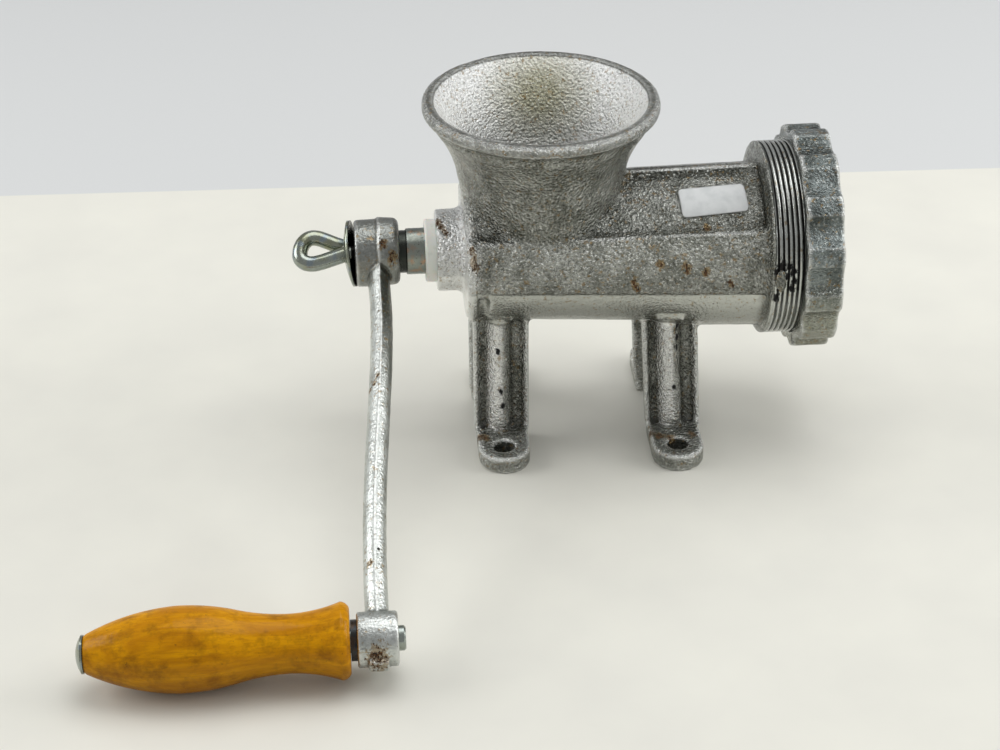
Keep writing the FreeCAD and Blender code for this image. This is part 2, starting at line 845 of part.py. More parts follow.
def make_rear_bush():
    """Nylon bush: a flange outside the boss and a sleeve through it."""
    body = new_body("rear_bush")
    inner = d.shaft_radius + d.shaft_play
    outer = -d.boss_end - d.bush_flange
    edge = d.bush_edge
    turned(body, "flanged_sleeve", [
        (outer, inner),
        (outer, d.bush_flange_radius - edge),
        (outer + edge, d.bush_flange_radius, -edge),
        (-d.boss_end, d.bush_flange_radius),
        (-d.boss_end, d.bush_sleeve_radius),
        (-d.rear_wall_inside, d.bush_sleeve_radius),
        (-d.rear_wall_inside, inner),
    ])
    return body


def crank_tilt():
    """How far the crank hangs below level when its grip lies on the bench."""
    return arc_sine((d.shaft_height - d.grip_belly_radius) / d.crank_length)


def make_drive_shaft():
    """Turned shaft from inside the screw to the crank's square, tapped for the eye screw."""
    body = new_body("drive_shaft", crank_tilt())
    inside = d.thrust_thickness + d.thrust_play - d.rear_wall_inside + d.shaft_in_screw
    end = -d.hub_left + d.shaft_end_gap
    turned(body, "round", [
        (-d.hub_right, 0),
        (-d.hub_right, d.shaft_neck_radius),
        (-d.shaft_shoulder, d.shaft_neck_radius),
        (-d.shaft_shoulder, d.shaft_radius - 0.5),
        (0.5 - d.shaft_shoulder, d.shaft_radius),
        (inside, d.shaft_radius),
        (inside, 0),
    ])
    square = new_sketch(body, "square_outline", "YZ_Plane", (0, 0, -d.hub_right))
    rectangle(square, d.shaft_square, d.shaft_square)
    padded(body, "square", square, -d.hub_right - end, back=True)
    turned(body, "tapped_hole", [
        (end - 1, 0),
        (end - 1, d.eye_thread_radius + d.eye_thread_play),
        (end + d.screw_hole_depth, d.eye_thread_radius + d.eye_thread_play),
        (end + d.screw_hole_depth + 2, 0),
    ], cut=True)
    return body


# Crank and handle

def arm_section(body, name, along, depth, sway=0):
    """A pointed oval across the arm: its two points are the mould's parting line."""
    middle = -(d.hub_left + d.hub_right) / 2
    low_middle = -(d.low_hub_left + d.low_hub_right) / 2
    x = middle + (low_middle - middle) * (along / d.crank_length) + sway
    width = d.arm_thickness
    bulge = (depth * depth + width * width) / (4 * width)
    sketch = new_sketch(body, name, "XZ_Plane", (x, 0, along))
    outline(sketch, [(0, -(depth / 2), -bulge), (0, depth / 2, -bulge)])
    return sketch


def make_crank_arm():
    body = new_body("crank_arm", crank_tilt())
    right, left, split = -d.hub_right, -d.hub_left, -d.hub_split
    edge = d.hub_edge
    turned(body, "hub", [
        (left, 0),
        (left, d.hub_radius - d.hub_draft - edge),
        (left + edge, d.hub_radius - d.hub_draft, -edge),
        (split, d.hub_radius - 0.5),
        (split, d.hub_radius),
        (right - edge * 2, d.hub_radius - d.hub_draft),
        (right, d.hub_radius - d.hub_draft - edge * 2, -(edge * 2)),
        (right, 0),
    ])
    length = d.crank_length
    stations = (
        ("arm_top", d.arm_start, d.arm_depth_top, as_size(0)),
        ("arm_upper", length * 0.3, d.arm_depth_top * 0.75 + d.arm_depth_low * 0.25, d.arm_sway_right),
        ("arm_middle", length * 0.52, d.arm_depth_top * 0.5 + d.arm_depth_low * 0.5, as_size(0)),
        ("arm_lower", length * 0.75, d.arm_depth_top * 0.2 + d.arm_depth_low * 0.8, -d.arm_sway_left),
        ("arm_end", length - d.arm_stop, d.arm_depth_low, as_size(0)),
    )
    sections = [arm_section(body, *station) for station in stations]
    lofted(body, "arm", sections, ruled=False)
    right, left = -d.low_hub_right, -d.low_hub_left
    shift = (0, 0, length)
    turned(body, "low_hub", [
        (left, 0),
        (left, d.low_hub_radius - 0.8),
        (left + 0.8, d.low_hub_radius, -0.8),
        (right - 1.4, d.low_hub_radius),
        (right, d.low_hub_radius - 1.4, -1.4),
        (right, 0),
    ], shift=shift)
    gate = new_sketch(body, "gate_outline", "XZ_Plane",
                      ((left + right) / 2, 0, length + d.low_hub_radius - 2))
    rectangle(gate, d.gate_width, d.gate_height)
    padded(body, "gate", gate, d.gate_length + 2)
    turned(body, "spindle_hole", [
        (left - 1, 0),
        (left - 1, d.spindle_radius),
        (right + 1, d.spindle_radius),
        (right + 1, 0),
    ], cut=True, shift=shift)
    square = new_sketch(body, "square_outline", "YZ_Plane", (0, 0, -d.hub_left))
    side = d.shaft_square + 2 * d.square_play
    rectangle(square, side, side)
    pocketed(body, "square", square)
    return body


def make_handle_spindle():
    """Steel pin with a domed head, screwed into the crank and peened over."""
    body = new_body("handle_spindle", crank_tilt())
    head = -d.grip_left - d.grip_end_play
    dome = d.cap_dome
    dome_arc = (d.cap_radius * d.cap_radius + dome * dome) / (2 * dome)
    turned(body, "pin", [
        (head - d.cap_rim - dome, 0),
        (head - d.cap_rim, d.cap_radius, -dome_arc),
        (head, d.cap_radius),
        (head, d.spindle_radius),
        (d.spindle_tail - d.low_hub_right - 0.8, d.spindle_radius),
        (d.spindle_tail - d.low_hub_right, d.spindle_radius - 0.8),
        (d.spindle_tail - d.low_hub_right, 0),
    ], shift=(0, 0, d.crank_length))
    return body


def make_spindle_washer():
    body = new_body("spindle_washer", crank_tilt())
    left = d.grip_end_play - d.grip_right
    inner = d.spindle_radius + d.spindle_play
    turned(body, "ring", [
        (left, inner),
        (left, d.spindle_washer_radius),
        (-d.low_hub_left, d.spindle_washer_radius),
        (-d.low_hub_left, inner),
    ], shift=(0, 0, d.crank_length))
    return body


def make_handle_grip():
    """Turned wooden grip: a long belly, a waist and a flared end beside the crank."""
    body = new_body("handle_grip", crank_tilt())
    bore = d.spindle_radius + d.spindle_play
    left, right = -d.grip_left, -d.grip_right
    turned(body, "turning", [
        (left, bore),
        (left, d.grip_tip_radius - 0.8),
        (left + 1, d.grip_tip_radius),
        (-d.grip_belly_x, d.grip_belly_radius, -d.grip_belly_arc),
        (-d.grip_tail_x, d.grip_tail_radius, -d.grip_belly_arc),
        (-d.grip_waist_x, d.grip_waist_radius, d.grip_waist_arc),
        (-d.grip_flare_x, d.grip_flare_radius, d.grip_flare_arc),
        (right, d.grip_end_radius, -d.grip_round),
        (right, bore),
    ], shift=(0, 0, d.crank_length))
    return body


# Crank fastening: dished washer and eye screw

def make_dished_washer():
    """Domed washer, hollow side to the crank."""
    body = new_body("dished_washer", crank_tilt())
    right = -d.hub_left - d.washer_gap
    thick, dish, arc = d.washer_thickness, d.washer_dish, d.washer_dish_arc
    inner = d.washer_hole_radius
    turned(body, "dish", [
        (right - dish, inner, arc),
        (right - dish - thick, inner),
        (right - thick, d.washer_radius, -arc),
        (right, d.washer_radius),
    ])
    return body


def make_eye_screw():
    """A rod bent into a teardrop eye, with a rolled thread on its stem."""
    body = new_body("eye_screw", -d.eye_turned)
    near, far = d.eye_near_angle, d.eye_far_angle
    bend, loop = d.eye_bend_radius, d.eye_loop_radius
    thread_in = -d.hub_left + d.shaft_end_gap + d.eye_thread_length
    thread_out = -d.hub_left - d.washer_gap - d.washer_dish
    neck = thread_out - d.washer_thickness - d.eye_neck
    low_x = neck - bend * sine(near) - d.eye_near_length * cosine(near)
    low_y = bend * cosine(near) - bend - d.eye_near_length * sine(near)
    centre_x = low_x - loop * sine(near)
    centre_y = low_y + loop * cosine(near)
    far_x = centre_x + loop * sine(far)
    far_y = centre_y + loop * cosine(far)
    path = new_sketch(body, "wire_path", "XZ_Plane")
    outline(path, [
        (thread_out, 0),
        (neck, 0),
        (neck - bend * sine(near), bend * cosine(near) - bend, bend),
        (low_x, low_y),
        (centre_x - loop, centre_y, -loop),
        (centre_x, centre_y + loop, -loop),
        (far_x, far_y, -loop),
        (far_x + d.eye_far_length * cosine(far), far_y - d.eye_far_length * sine(far)),
    ], closed=False)
    section = new_sketch(body, "wire_section", "YZ_Plane", (0, 0, thread_out))
    circle(section, 0, 0, d.eye_wire_radius)
    wire = body.newObject("PartDesign::AdditivePipe", "wire")
    wire.Profile = section
    wire.Spine = path
    end = d.eye_thread_edge
    turned(body, "thread", [
        (thread_out, 0),
        (thread_out, d.eye_thread_radius - end),
        (thread_out + end, d.eye_thread_radius),
        (thread_in - end, d.eye_thread_radius),
        (thread_in, d.eye_thread_radius - end),
        (thread_in, 0),
    ])
    return body


def finish(bodies):
    doc.recompute()
    for thing in doc.Objects:
        if "Invalid" in thing.State or "Error" in thing.State:
            raise RuntimeError("%s did not compute" % thing.Name)
    os.makedirs("parts", exist_ok=True)
    for body in bodies:
        shape = body.Shape
        if shape.isNull() or not shape.isValid() or len(shape.Solids) != 1:
            raise RuntimeError("%s is not one sound solid" % body.Label)
        shape.exportStep("parts/%s.step" % body.Label)


finish([
    make_housing(),
    make_plate_key(),
    make_grinding_plate(),
    make_knife(),
    make_knife_stud(),
    make_ring_nut(),
    make_feed_screw(),
    make_thrust_washer(),
    make_rear_bush(),
    make_drive_shaft(),
    make_crank_arm(),
    make_handle_spindle(),
    make_spindle_washer(),
    make_handle_grip(),
    make_dished_washer(),
    make_eye_screw(),
])
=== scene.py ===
"""Looks for the manual meat grinder: sand-cast tinned iron, plated wire, turned steel and wood."""
import json
import math

import bmesh
import bpy
import numpy as np
from mathutils import Matrix, Vector, noise


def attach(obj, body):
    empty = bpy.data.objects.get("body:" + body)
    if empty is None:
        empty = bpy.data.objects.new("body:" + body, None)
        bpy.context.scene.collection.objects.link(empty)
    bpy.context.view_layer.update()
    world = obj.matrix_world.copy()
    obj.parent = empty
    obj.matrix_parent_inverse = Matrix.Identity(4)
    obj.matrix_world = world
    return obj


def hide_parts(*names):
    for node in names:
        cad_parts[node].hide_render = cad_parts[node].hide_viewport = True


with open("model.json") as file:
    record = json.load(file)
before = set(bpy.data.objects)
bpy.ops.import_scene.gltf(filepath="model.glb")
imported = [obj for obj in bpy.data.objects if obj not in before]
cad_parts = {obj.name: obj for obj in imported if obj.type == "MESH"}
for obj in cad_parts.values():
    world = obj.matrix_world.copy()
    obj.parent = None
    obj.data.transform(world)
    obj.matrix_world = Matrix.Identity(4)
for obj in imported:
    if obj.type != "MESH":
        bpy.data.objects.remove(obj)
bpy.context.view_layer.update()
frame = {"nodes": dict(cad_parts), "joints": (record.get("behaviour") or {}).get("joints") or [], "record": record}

MM = 0.001
joints = {joint["name"]: joint for joint in frame["joints"]}
SHAFT_HEIGHT = joints["crank_turn"]["pos_m"][2]
# X is measured from the middle between the crank-side and the outlet-side bolt holes
MIDDLE = sum(mount["pos_m"][0] for mount in frame["record"]["mounts"][:2]) / 2


def spot(x, y, z):
    """A place given in millimetres from the middle between the feet, Z from the bench."""
    return Vector((MIDDLE + x * MM, y * MM, z * MM))


# Camera, where the photographer stood
CAMERA_PLACE = spot(-113.74, -983.87, 631.62)
CAMERA_LOOKS = Vector((0.06055, 0.85030, -0.52280))
CAMERA_RIGHT = Vector((0.99713, -0.07538, -0.00711))
CAMERA_LENS = 79.2

# Sizes of the pieces made here, in millimetres
THREAD_START, THREAD_END = 88.6, 115.4
THREAD_ROOT, THREAD_CREST, THREAD_PITCH, THREAD_LAND = 47.6, 49.0, 2.5, 0.27
NUT_LIP, NUT_BORE = 118.8, 49.3
LABEL_RADIUS, LABEL_THICKNESS = 39.0, 0.15
LABEL_LENGTH, LABEL_WIDTH, LABEL_CORNER = 33.4, 16.2, 2.2
LABEL_X, LABEL_ANGLE, LABEL_TILT = 61.4, 57.8, 4.1
WIRE_RADIUS = 3.95
EYE_THREAD_END, EYE_THREAD_START = -97.4, -115.8
EYE_THREAD_ROOT, EYE_THREAD_PITCH, EYE_THREAD_LAND = 3.4, 1.25, 0.12
EYE_UP = Vector((0.0, 0.695, 0.719))
EYE_BEHIND = Vector((0.0, 0.719, -0.695))
# The wire's centre line: x, up in the eye's plane, and how far behind that plane
EYE_LINE = (
    (-115.0, 0.0, 0.0), (-119.0, 0.0, 0.0), (-122.0, -0.4, 0.0), (-125.5, -1.4, 0.0),
    (-129.5, -2.6, 0.0), (-134.1, -3.9, 0.0), (-138.6, -4.5, 0.2), (-142.2, -3.5, 0.5),
    (-144.2, -1.2, 0.9), (-144.4, 1.8, 1.3), (-143.5, 5.2, 1.8), (-141.4, 8.2, 2.3),
    (-138.8, 9.7, 2.8), (-135.2, 9.7, 3.4), (-131.1, 8.3, 4.0), (-126.9, 6.6, 4.6),
    (-122.9, 5.2, 5.2))
# The washer's place on the wire, how far it leans and swings in degrees, and hangs forward
WASHER_MIDDLE, WASHER_LEAN, WASHER_SWING, WASHER_SHIFT = -119.5, 6.4, 4.4, 0.65
# The mould's parting in the crank's hub, and how far its right half slipped
HUB_SPLIT, HUB_SLIP = -105.2, (0.0, -0.45, 0.75)
# The shaft is dark on its neck and shoulder, up to here
SHAFT_DARK_TO = -90.5
LUMP_PLACE, LUMP_SIZE = (92.3, -48.3, 103.5), (3.0, 1.7, 5.6)
HOPPER_X, RIM_TOP, RIM_OUTSIDE = -22.5, 185.0, 57.4
# The bowl's wall: height and how far it stands from the hopper's axis
BOWL_WALL = ((140.0, 37.0), (160.0, 43.2), (RIM_TOP, 56.2))
# The casting's collar starts further forward, and its throat is shallower, than in the CAD
BARREL_RADIUS, BARREL_STRETCHED_FROM = 37.0, 60.0
COLLAR_FROM, COLLAR_TO, COLLAR_SHIFT = 79.5, 89.4, 6.6
THROAT_FROM, THROAT_TO, THROAT_DEPTH = -57.4, -51.2, 0.9
# The barrel's side just in front of the throat, and between which angles the throat is raised
FRONT_FROM, FRONT_TO, THROAT_LOW, THROAT_HIGH = -50, -46, -13, 35
# Legs: middle at the top and at the foot, and how far out the plate's front is there
LEGS = ((-44.6, -44.6, 22.6, 23.6), (41.0, 44.6, 24.5, 27.0))
LEG_TOP, LEG_FOOT, FOOT_TOP, CHANNEL_DEPTH = 79.7, 8.0, 9.0, 3.0
RIB_LEFT, RIB_RIGHT, RIB_EDGE, RIB_HEIGHT, RIB_RISE, RIB_SLANT = -8.6, 6.2, 1.2, 6.2, 2.2, 0.4
# The belly, painted lighter as a painted reflection of the floor: its upper edge falls evenly, its lower edge
# falls again below the barrel
BELLY_FROM, BELLY_BEND, BELLY_DROPPED, BELLY_TO = -51.5, 30.0, 58.0, 84.0
BELLY_TOPS, BELLY_BOTTOMS, BELLY_DROP = (98.6, 92.6), (73.4, 71.0), 4.6
# Where the casting was turned or ground bare
MACHINED_FROM, GROOVES_FROM = 89.0, 89.4
SPINE_FROM, SPINE_TO, SPINE_BOTTOM, SPINE_TOP, SPINE_HALF = 18.0, 82.0, 136.0, 147.0, 7.0
# Where it kept or took on another colour, or is painted lighter or darker in place of light and shade: from where
# to where this fades in
BOWL_BRIGHT, BOSS_BRIGHT, BOSS_BRIGHT_TOP = (120, 135), (-54, -63), (136, 122)
STAIN_AND_SHADE_PLACE, STAIN_AND_SHADE_REACH = (HOPPER_X + 3, 42, 168), (34, 8)
BEAD_SHADE, GREASE_THICK = (RIM_TOP - 13, RIM_TOP - 9), (84, 98)
SHEEN_HALF, SHEEN_FROM, SHEEN_TO = 16, 10, 72
# The same on crank and nut: how far from the shaft line, and for the nut how far above it
CRANK_SHADE, HUB_DULL, HUB_END_SHADE, NUT_BROWN = (95, 45), (21, 18), (16.5, 15), (5, -25)
# The rear wall's soft corner, and the skin of the crank's hub where its mould slipped
CORNER_FROM, CORNER_FULL = -59, -57
HUB_INNER, HUB_OUTER = (12, 15), (24, 21)
# The table's far edge: how far back, how much it slants, and how wide it is
EDGE_BACK, EDGE_SLANT, EDGE_WIDTH, TABLE_HALF = 278.0, 0.0271, 1.5, 3000.0
# Directions that a distance counts: in a level plane, across the shaft, and to the sides
FLAT, ACROSS, SIDEWAYS = (1.0, 1.0, 0.0), (0.0, 1.0, 1.0), (0.0, 1.0, 0.0)
# Castings: wrinkles' width, how far a soft edge reaches, and the step in which hollows are counted
WRINKLE_SIZE, SOFT_REACH, HOLLOW_UNIT = 5.0, 8.0, 0.1


# Meshes

def new_piece(name, mesh, body, material):
    """A smooth-shaded object that rides on a body of the frame."""
    piece = bpy.data.objects.new(name, mesh)
    bpy.context.scene.collection.objects.link(piece)
    mesh.materials.clear()
    mesh.materials.append(material)
    mesh.polygons.foreach_set("use_smooth", [True] * len(mesh.polygons))
    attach(piece, body)
    return piece


def mesh_of(data, *steps):
    """The mesh of a mesh or curve after a stack of modifiers, each a kind and its settings."""
    carrier = bpy.data.objects.new("carrier", data)
    bpy.context.scene.collection.objects.link(carrier)
    for kind, settings in steps:
        modifier = carrier.modifiers.new(kind, kind)
        for setting, value in settings.items():
            setattr(modifier, setting, value)
    ready = carrier.evaluated_get(bpy.context.evaluated_depsgraph_get())
    result = bpy.data.meshes.new_from_object(ready)
    bpy.data.objects.remove(carrier)
    return result


def welded_copy(node):
    """A closed copy of a CAD node's mesh, its face corners joined."""
    mesh = frame["nodes"][node].data.copy()
    work = bmesh.new()
    work.from_mesh(mesh)
    bmesh.ops.remove_doubles(work, verts=work.verts, dist=0.002 * MM)
    work.to_mesh(mesh)
    work.free()
    return mesh


def joined(name, *meshes):
    """Several meshes as one."""
    work = bmesh.new()
    for mesh in meshes:
        work.from_mesh(mesh)
    result = bpy.data.meshes.new(name)
    work.to_mesh(result)
    work.free()
    return result


def read(collection, name, kind=float, width=3):
    """One property of all of a mesh's points or edges, a row for each."""
    values = np.empty(len(collection) * width, dtype=kind)
    collection.foreach_get(name, values)
    return values.reshape(-1, width)


def eased(values, edges, share):
    """Values at a mesh's corners, each moved a share of the way to its neighbours' mean."""
    here = np.concatenate((edges[:, 0], edges[:, 1]))
    there = np.concatenate((edges[:, 1], edges[:, 0]))
    count = np.bincount(here, minlength=len(values))[:, None]
    total = np.stack([np.bincount(here, column[there], len(values)) for column in values.T], 1)
    return values + (total / count - values) * share


def at_points(mesh, name, values):
    """Keeps a number for each point of a mesh, for its material to read."""
    mesh.attributes.new(name, "FLOAT", "POINT").data.foreach_set("value", values)


def sand_cast(node, grid, softness, ease=None, reshape=None, painted_sheen=None, wrinkle=0.12):
    """A CAD node as the foundry gives it: every edge soft, and faces slightly uneven.

    reshape moves the points, ease gives the share by which each is softened further, and the sheen function gives
    how much a painted highlight lightens each point. The result knows where it is hollow."""
    reach = int(SOFT_REACH / grid)
    mesh = mesh_of(
        welded_copy(node),
        ("REMESH", {"mode": "VOXEL", "voxel_size": grid * MM}),
        ("SMOOTH", {"factor": 0.5, "iterations": softness}))
    points, edges = read(mesh.vertices, "co"), read(mesh.edges, "vertices", np.int32, 2)
    if reshape is not None:
        points = reshape(points)
    if ease is not None:
        share = ease(points)[:, None]
        for _ in range(reach):
            points = eased(points, edges, share)
    mesh.vertices.foreach_set("co", points.ravel())
    mesh.update()
    normals = read(mesh.vertices, "normal")
    swell = [noise.noise(Vector(point) / (WRINKLE_SIZE * MM)) for point in points]
    points = points + normals * (np.array(swell)[:, None] * wrinkle * MM)
    mesh.vertices.foreach_set("co", points.ravel())
    mesh.update()
    wide = points
    for _ in range(reach):
        wide = eased(wide, edges, 0.5)
    at_points(mesh, "hollow", ((wide - points) * normals).sum(1) / (HOLLOW_UNIT * MM))
    if painted_sheen is not None:
        at_points(mesh, "painted_sheen", painted_sheen(points, normals))
    return mesh


def ramp(values, low, high):
    """0 at low, 1 at high and beyond, and in step between."""
    return np.clip((values - low) / (high - low), 0.0, 1.0)


def on_shaft(x, radius, turn):
    """A point at a radius and an angle round the shaft line; zero faces +Y."""
    return Vector((MIDDLE + x * MM, radius * math.cos(turn) * MM,
                   SHAFT_HEIGHT + radius * math.sin(turn) * MM))


def screw_thread(start, end, root, crest, pitch, land, phase=0.0):
    """A right-hand ridge wound round the shaft line, run out flat at both ends.

    land is half the width of its crest, as a share of the pitch."""
    steps_per_turn = 120
    steps = int((end - start) / pitch * steps_per_turn)
    run_out = steps_per_turn // 2
    slope, skirt, sunk = 0.08, 0.40, 0.2
    work = bmesh.new()
    rings = []
    for step in range(steps + 1):
        turn = phase + 2 * math.pi * step / steps_per_turn
        x = start + pitch * step / steps_per_turn
        height = root + (crest - root) * min(1.0, step / run_out, (steps - step) / run_out)
        profile = ((-skirt, root - sunk), (-land - slope, root), (-land, height), (land, height),
                   (land + slope, root), (skirt, root - sunk))
        rings.append([work.verts.new(on_shaft(x + along * pitch, radius, turn))
                      for along, radius in profile])
    for before, after in zip(rings, rings[1:]):
        for corner in range(len(before)):
            following = (corner + 1) % len(before)
            work.faces.new((before[corner], before[following], after[following], after[corner]))
    work.faces.new(rings[0])
    work.faces.new(list(reversed(rings[-1])))
    bmesh.ops.recalc_face_normals(work, faces=work.faces)
    mesh = bpy.data.meshes.new("thread")
    work.to_mesh(mesh)
    work.free()
    return mesh


def bent_wire(places, radius):
    """Round wire through the given places, its ends cut square."""
    curve = bpy.data.curves.new("wire", "CURVE")
    curve.dimensions = "3D"
    curve.bevel_depth, curve.bevel_resolution = radius * MM, 7
    curve.use_fill_caps = True
    line = curve.splines.new("BEZIER")
    line.bezier_points.add(len(places) - 1)
    line.resolution_u = 8
    for point, place in zip(line.bezier_points, places):
        point.co = place
        point.handle_left_type = point.handle_right_type = "AUTO"
    return mesh_of(curve)


def label_sheet():
    """A thin label with round corners, bent round the barrel."""
    columns, rows = 48, 26
    work = bmesh.new()
    grid = []
    for column in range(columns + 1):
        along = (column / columns - 0.5) * LABEL_LENGTH
        inset = max(0.0, abs(along) - (LABEL_LENGTH / 2 - LABEL_CORNER))
        drop = LABEL_CORNER - math.sqrt(max(0.0, LABEL_CORNER ** 2 - inset ** 2))
        half = LABEL_WIDTH / 2 - drop
        line = []
        for row in range(rows + 1):
            across = (row / rows * 2 - 1) * half
            tilt = math.radians(LABEL_TILT)
            x = LABEL_X + along * math.cos(tilt) - across * math.sin(tilt)
            arc = across * math.cos(tilt) + along * math.sin(tilt)
            turn = math.pi - math.radians(LABEL_ANGLE) - arc / LABEL_RADIUS
            line.append(work.verts.new(on_shaft(x, LABEL_RADIUS, turn)))
        grid.append(line)
    for left, right in zip(grid, grid[1:]):
        for row in range(rows):
            work.faces.new((left[row], left[row + 1], right[row + 1], right[row]))
    mesh = bpy.data.meshes.new("label")
    work.to_mesh(mesh)
    work.free()
    return mesh_of(mesh, ("SOLIDIFY", {"thickness": LABEL_THICKNESS * MM, "offset": 1.0}))


def metal_lump():
    """A rough bead of spare metal that the foundry left on the thread."""
    work = bmesh.new()
    bmesh.ops.create_icosphere(work, subdivisions=5, radius=1.0)
    for vertex in work.verts:
        rough = 1.0 + 0.28 * noise.noise(vertex.co * 1.6) + 0.10 * noise.noise(vertex.co * 5.0)
        size = [half * rough * MM for half in LUMP_SIZE]
        vertex.co = spot(*LUMP_PLACE) + Vector(along * half for along, half in zip(vertex.co, size))
    mesh = bpy.data.meshes.new("lump")
    work.to_mesh(mesh)
    work.free()
    return mesh


# Materials

def colour(code):
    """An sRGB hex colour as the linear one that shaders take."""
    values = [int(code[at:at + 2], 16) / 255 for at in (1, 3, 5)]
    return [value / 12.92 if value <= 0.04045 else ((value + 0.055) / 1.055) ** 2.4
            for value in values] + [1.0]


def feed(tree, node, links):
    """Links sources to a node's sockets, by the sockets' names or numbers."""
    for name, source in links.items():
        tree.links.new(source, node.inputs[name])


def add_node(tree, kind, settings=(), links=()):
    """A shader node, with its settings or socket values and what feeds its sockets."""
    node = tree.nodes.new(kind)
    for name, value in dict(settings).items():
        if isinstance(name, str) and hasattr(node, name):
            setattr(node, name, value)
        else:
            node.inputs[name].default_value = value
    feed(tree, node, dict(links))
    return node


def new_material(name, settings):
    """A material with one Principled surface, whose fixed values sit on its own sockets."""
    material = bpy.data.materials.new(name)
    material.use_nodes = True
    tree = material.node_tree
    tree.nodes.clear()
    surface = add_node(tree, "ShaderNodeBsdfPrincipled", settings)
    add_node(tree, "ShaderNodeOutputMaterial", links={"Surface": surface.outputs[0]})
    return material, tree, surface


def place(tree):
    """Where on the piece a point is, in metres, as the part lies at rest."""
    return add_node(tree, "ShaderNodeTexCoord").outputs["Object"]


def grain(tree, where, size, detail=2.0, rough=0.5, distortion=0.0):
    """Noise whose blotches are about size millimetres across."""
    return add_node(tree, "ShaderNodeTexNoise", {
        "Scale": 1 / (size * MM), "Detail": detail, "Roughness": rough,
        "Distortion": distortion}, {"Vector": where}).outputs["Fac"]


def ranged(tree, value, low, high, to_low=0.0, to_high=1.0):
    """A value carried from one range to another, and held at its ends."""
    return add_node(tree, "ShaderNodeMapRange", {
        "From Min": low, "From Max": high, "To Min": to_low, "To Max": to_high},
        {"Value": value}).outputs[0]


def faded(tree, length, start, end, to_start=0.0, to_end=1.0):
    """A share that changes between two values of a length, given in millimetres."""
    return ranged(tree, length, start * MM, end * MM, to_start, to_end)


def sloped(tree, length, start, end, to_start, to_end):
    """A length that changes in step with another, all four ends in millimetres."""
    return ranged(tree, length, start * MM, end * MM, to_start * MM, to_end * MM)


def calculated(tree, operation, first, *others):
    """Numbers or sockets through one kind of sum, from left to right."""
    for second in others:
        both = ((0, first), (1, second))
        fixed = {at: value for at, value in both if isinstance(value, float)}
        linked = {at: value for at, value in both if at not in fixed}
        node = add_node(tree, "ShaderNodeMath", {"operation": operation, **fixed}, linked)
        first = node.outputs[0]
    return first


def mixed(tree, share, first, second):
    """Two colours, each a hex code or a socket, mixed by share."""
    node = add_node(tree, "ShaderNodeMix", {"data_type": "RGBA"})
    for socket, value in ((node.inputs[6], first), (node.inputs[7], second)):
        if isinstance(value, str):
            socket.default_value = colour(value)
        else:
            tree.links.new(value, socket)
    tree.links.new(share, node.inputs[0])
    return node.outputs[2]


def bumped(tree, height, depth, under=None):
    """A surface pushed in and out by height times depth millimetres."""
    links = {"Height": height} if under is None else {"Height": height, "Normal": under}
    return add_node(tree, "ShaderNodeBump", {"Distance": depth * MM}, links).outputs[0]


def away_from(tree, where, centre, along=(1.0, 1.0, 1.0)):
    """How far a point is from centre, counting only the directions in along."""
    step = add_node(tree, "ShaderNodeVectorMath", {"operation": "SUBTRACT", 1: tuple(centre)},
                    {0: where}).outputs[0]
    step = add_node(tree, "ShaderNodeVectorMath", {"operation": "MULTIPLY", 1: along},
                    {0: step}).outputs[0]
    return add_node(tree, "ShaderNodeVectorMath", {"operation": "LENGTH"},
                    {0: step}).outputs["Value"]


def axis_of(tree, where, name):
    """One of a point's or a direction's three numbers."""
    return add_node(tree, "ShaderNodeSeparateXYZ", links={0: where}).outputs[name]


def along_shaft(tree, where):
    """How far a point is from the middle between the feet, towards the outlet."""
    return calculated(tree, "SUBTRACT", axis_of(tree, where, "X"), MIDDLE)


def stretched(tree, where, scale):
    """Places squeezed along the axes, so that what is drawn there comes out longer."""
    return add_node(tree, "ShaderNodeMapping", {"Scale": scale}, {"Vector": where}).outputs[0]


def attribute(tree, name):
    """A number that a mesh keeps for each point, or 0 where it keeps none."""
    return add_node(tree, "ShaderNodeAttribute", {"attribute_name": name}).outputs["Fac"]


def marks(tree, where, spots):
    """One at each spot of x, y, z and radius in millimetres, fading out, longer upright."""
    return calculated(tree, "MAXIMUM", *[
        faded(tree, away_from(tree, where, spot(x, y, z), (1.0, 1.0, 0.6)), radius, 0.0)
        for x, y, z, radius in spots])


def painted(tree, zone, skin, code):
    """A colour laid over the skin in a zone, if there is such a zone."""
    return skin if zone is None else mixed(tree, zone, skin, code)


def weakened(tree, zone, value, left):
    """A value cut to the share that is left of it in a zone, if there is such a zone."""
    if zone is None:
        return value
    return calculated(tree, "MULTIPLY", value, ranged(tree, zone, 0.0, 1.0, 1.0, left))


def ragged(tree, soft, noise_value, filled, torn=3.0):
    """The inside of a soft mark, broken up by noise; filled is how much of it is left."""
    tearing = calculated(tree, "MULTIPLY", calculated(tree, "SUBTRACT", noise_value, 0.5), torn)
    return ranged(tree, calculated(tree, "ADD", soft, tearing), 1.0 - filled, 1.15 - filled)


# How much of the sand's grain the belly keeps where it is painted lighter, and how rough rust and grime are
SMOOTH_GRAIN, SPOILED_ROUGHNESS = 0.25, 0.8


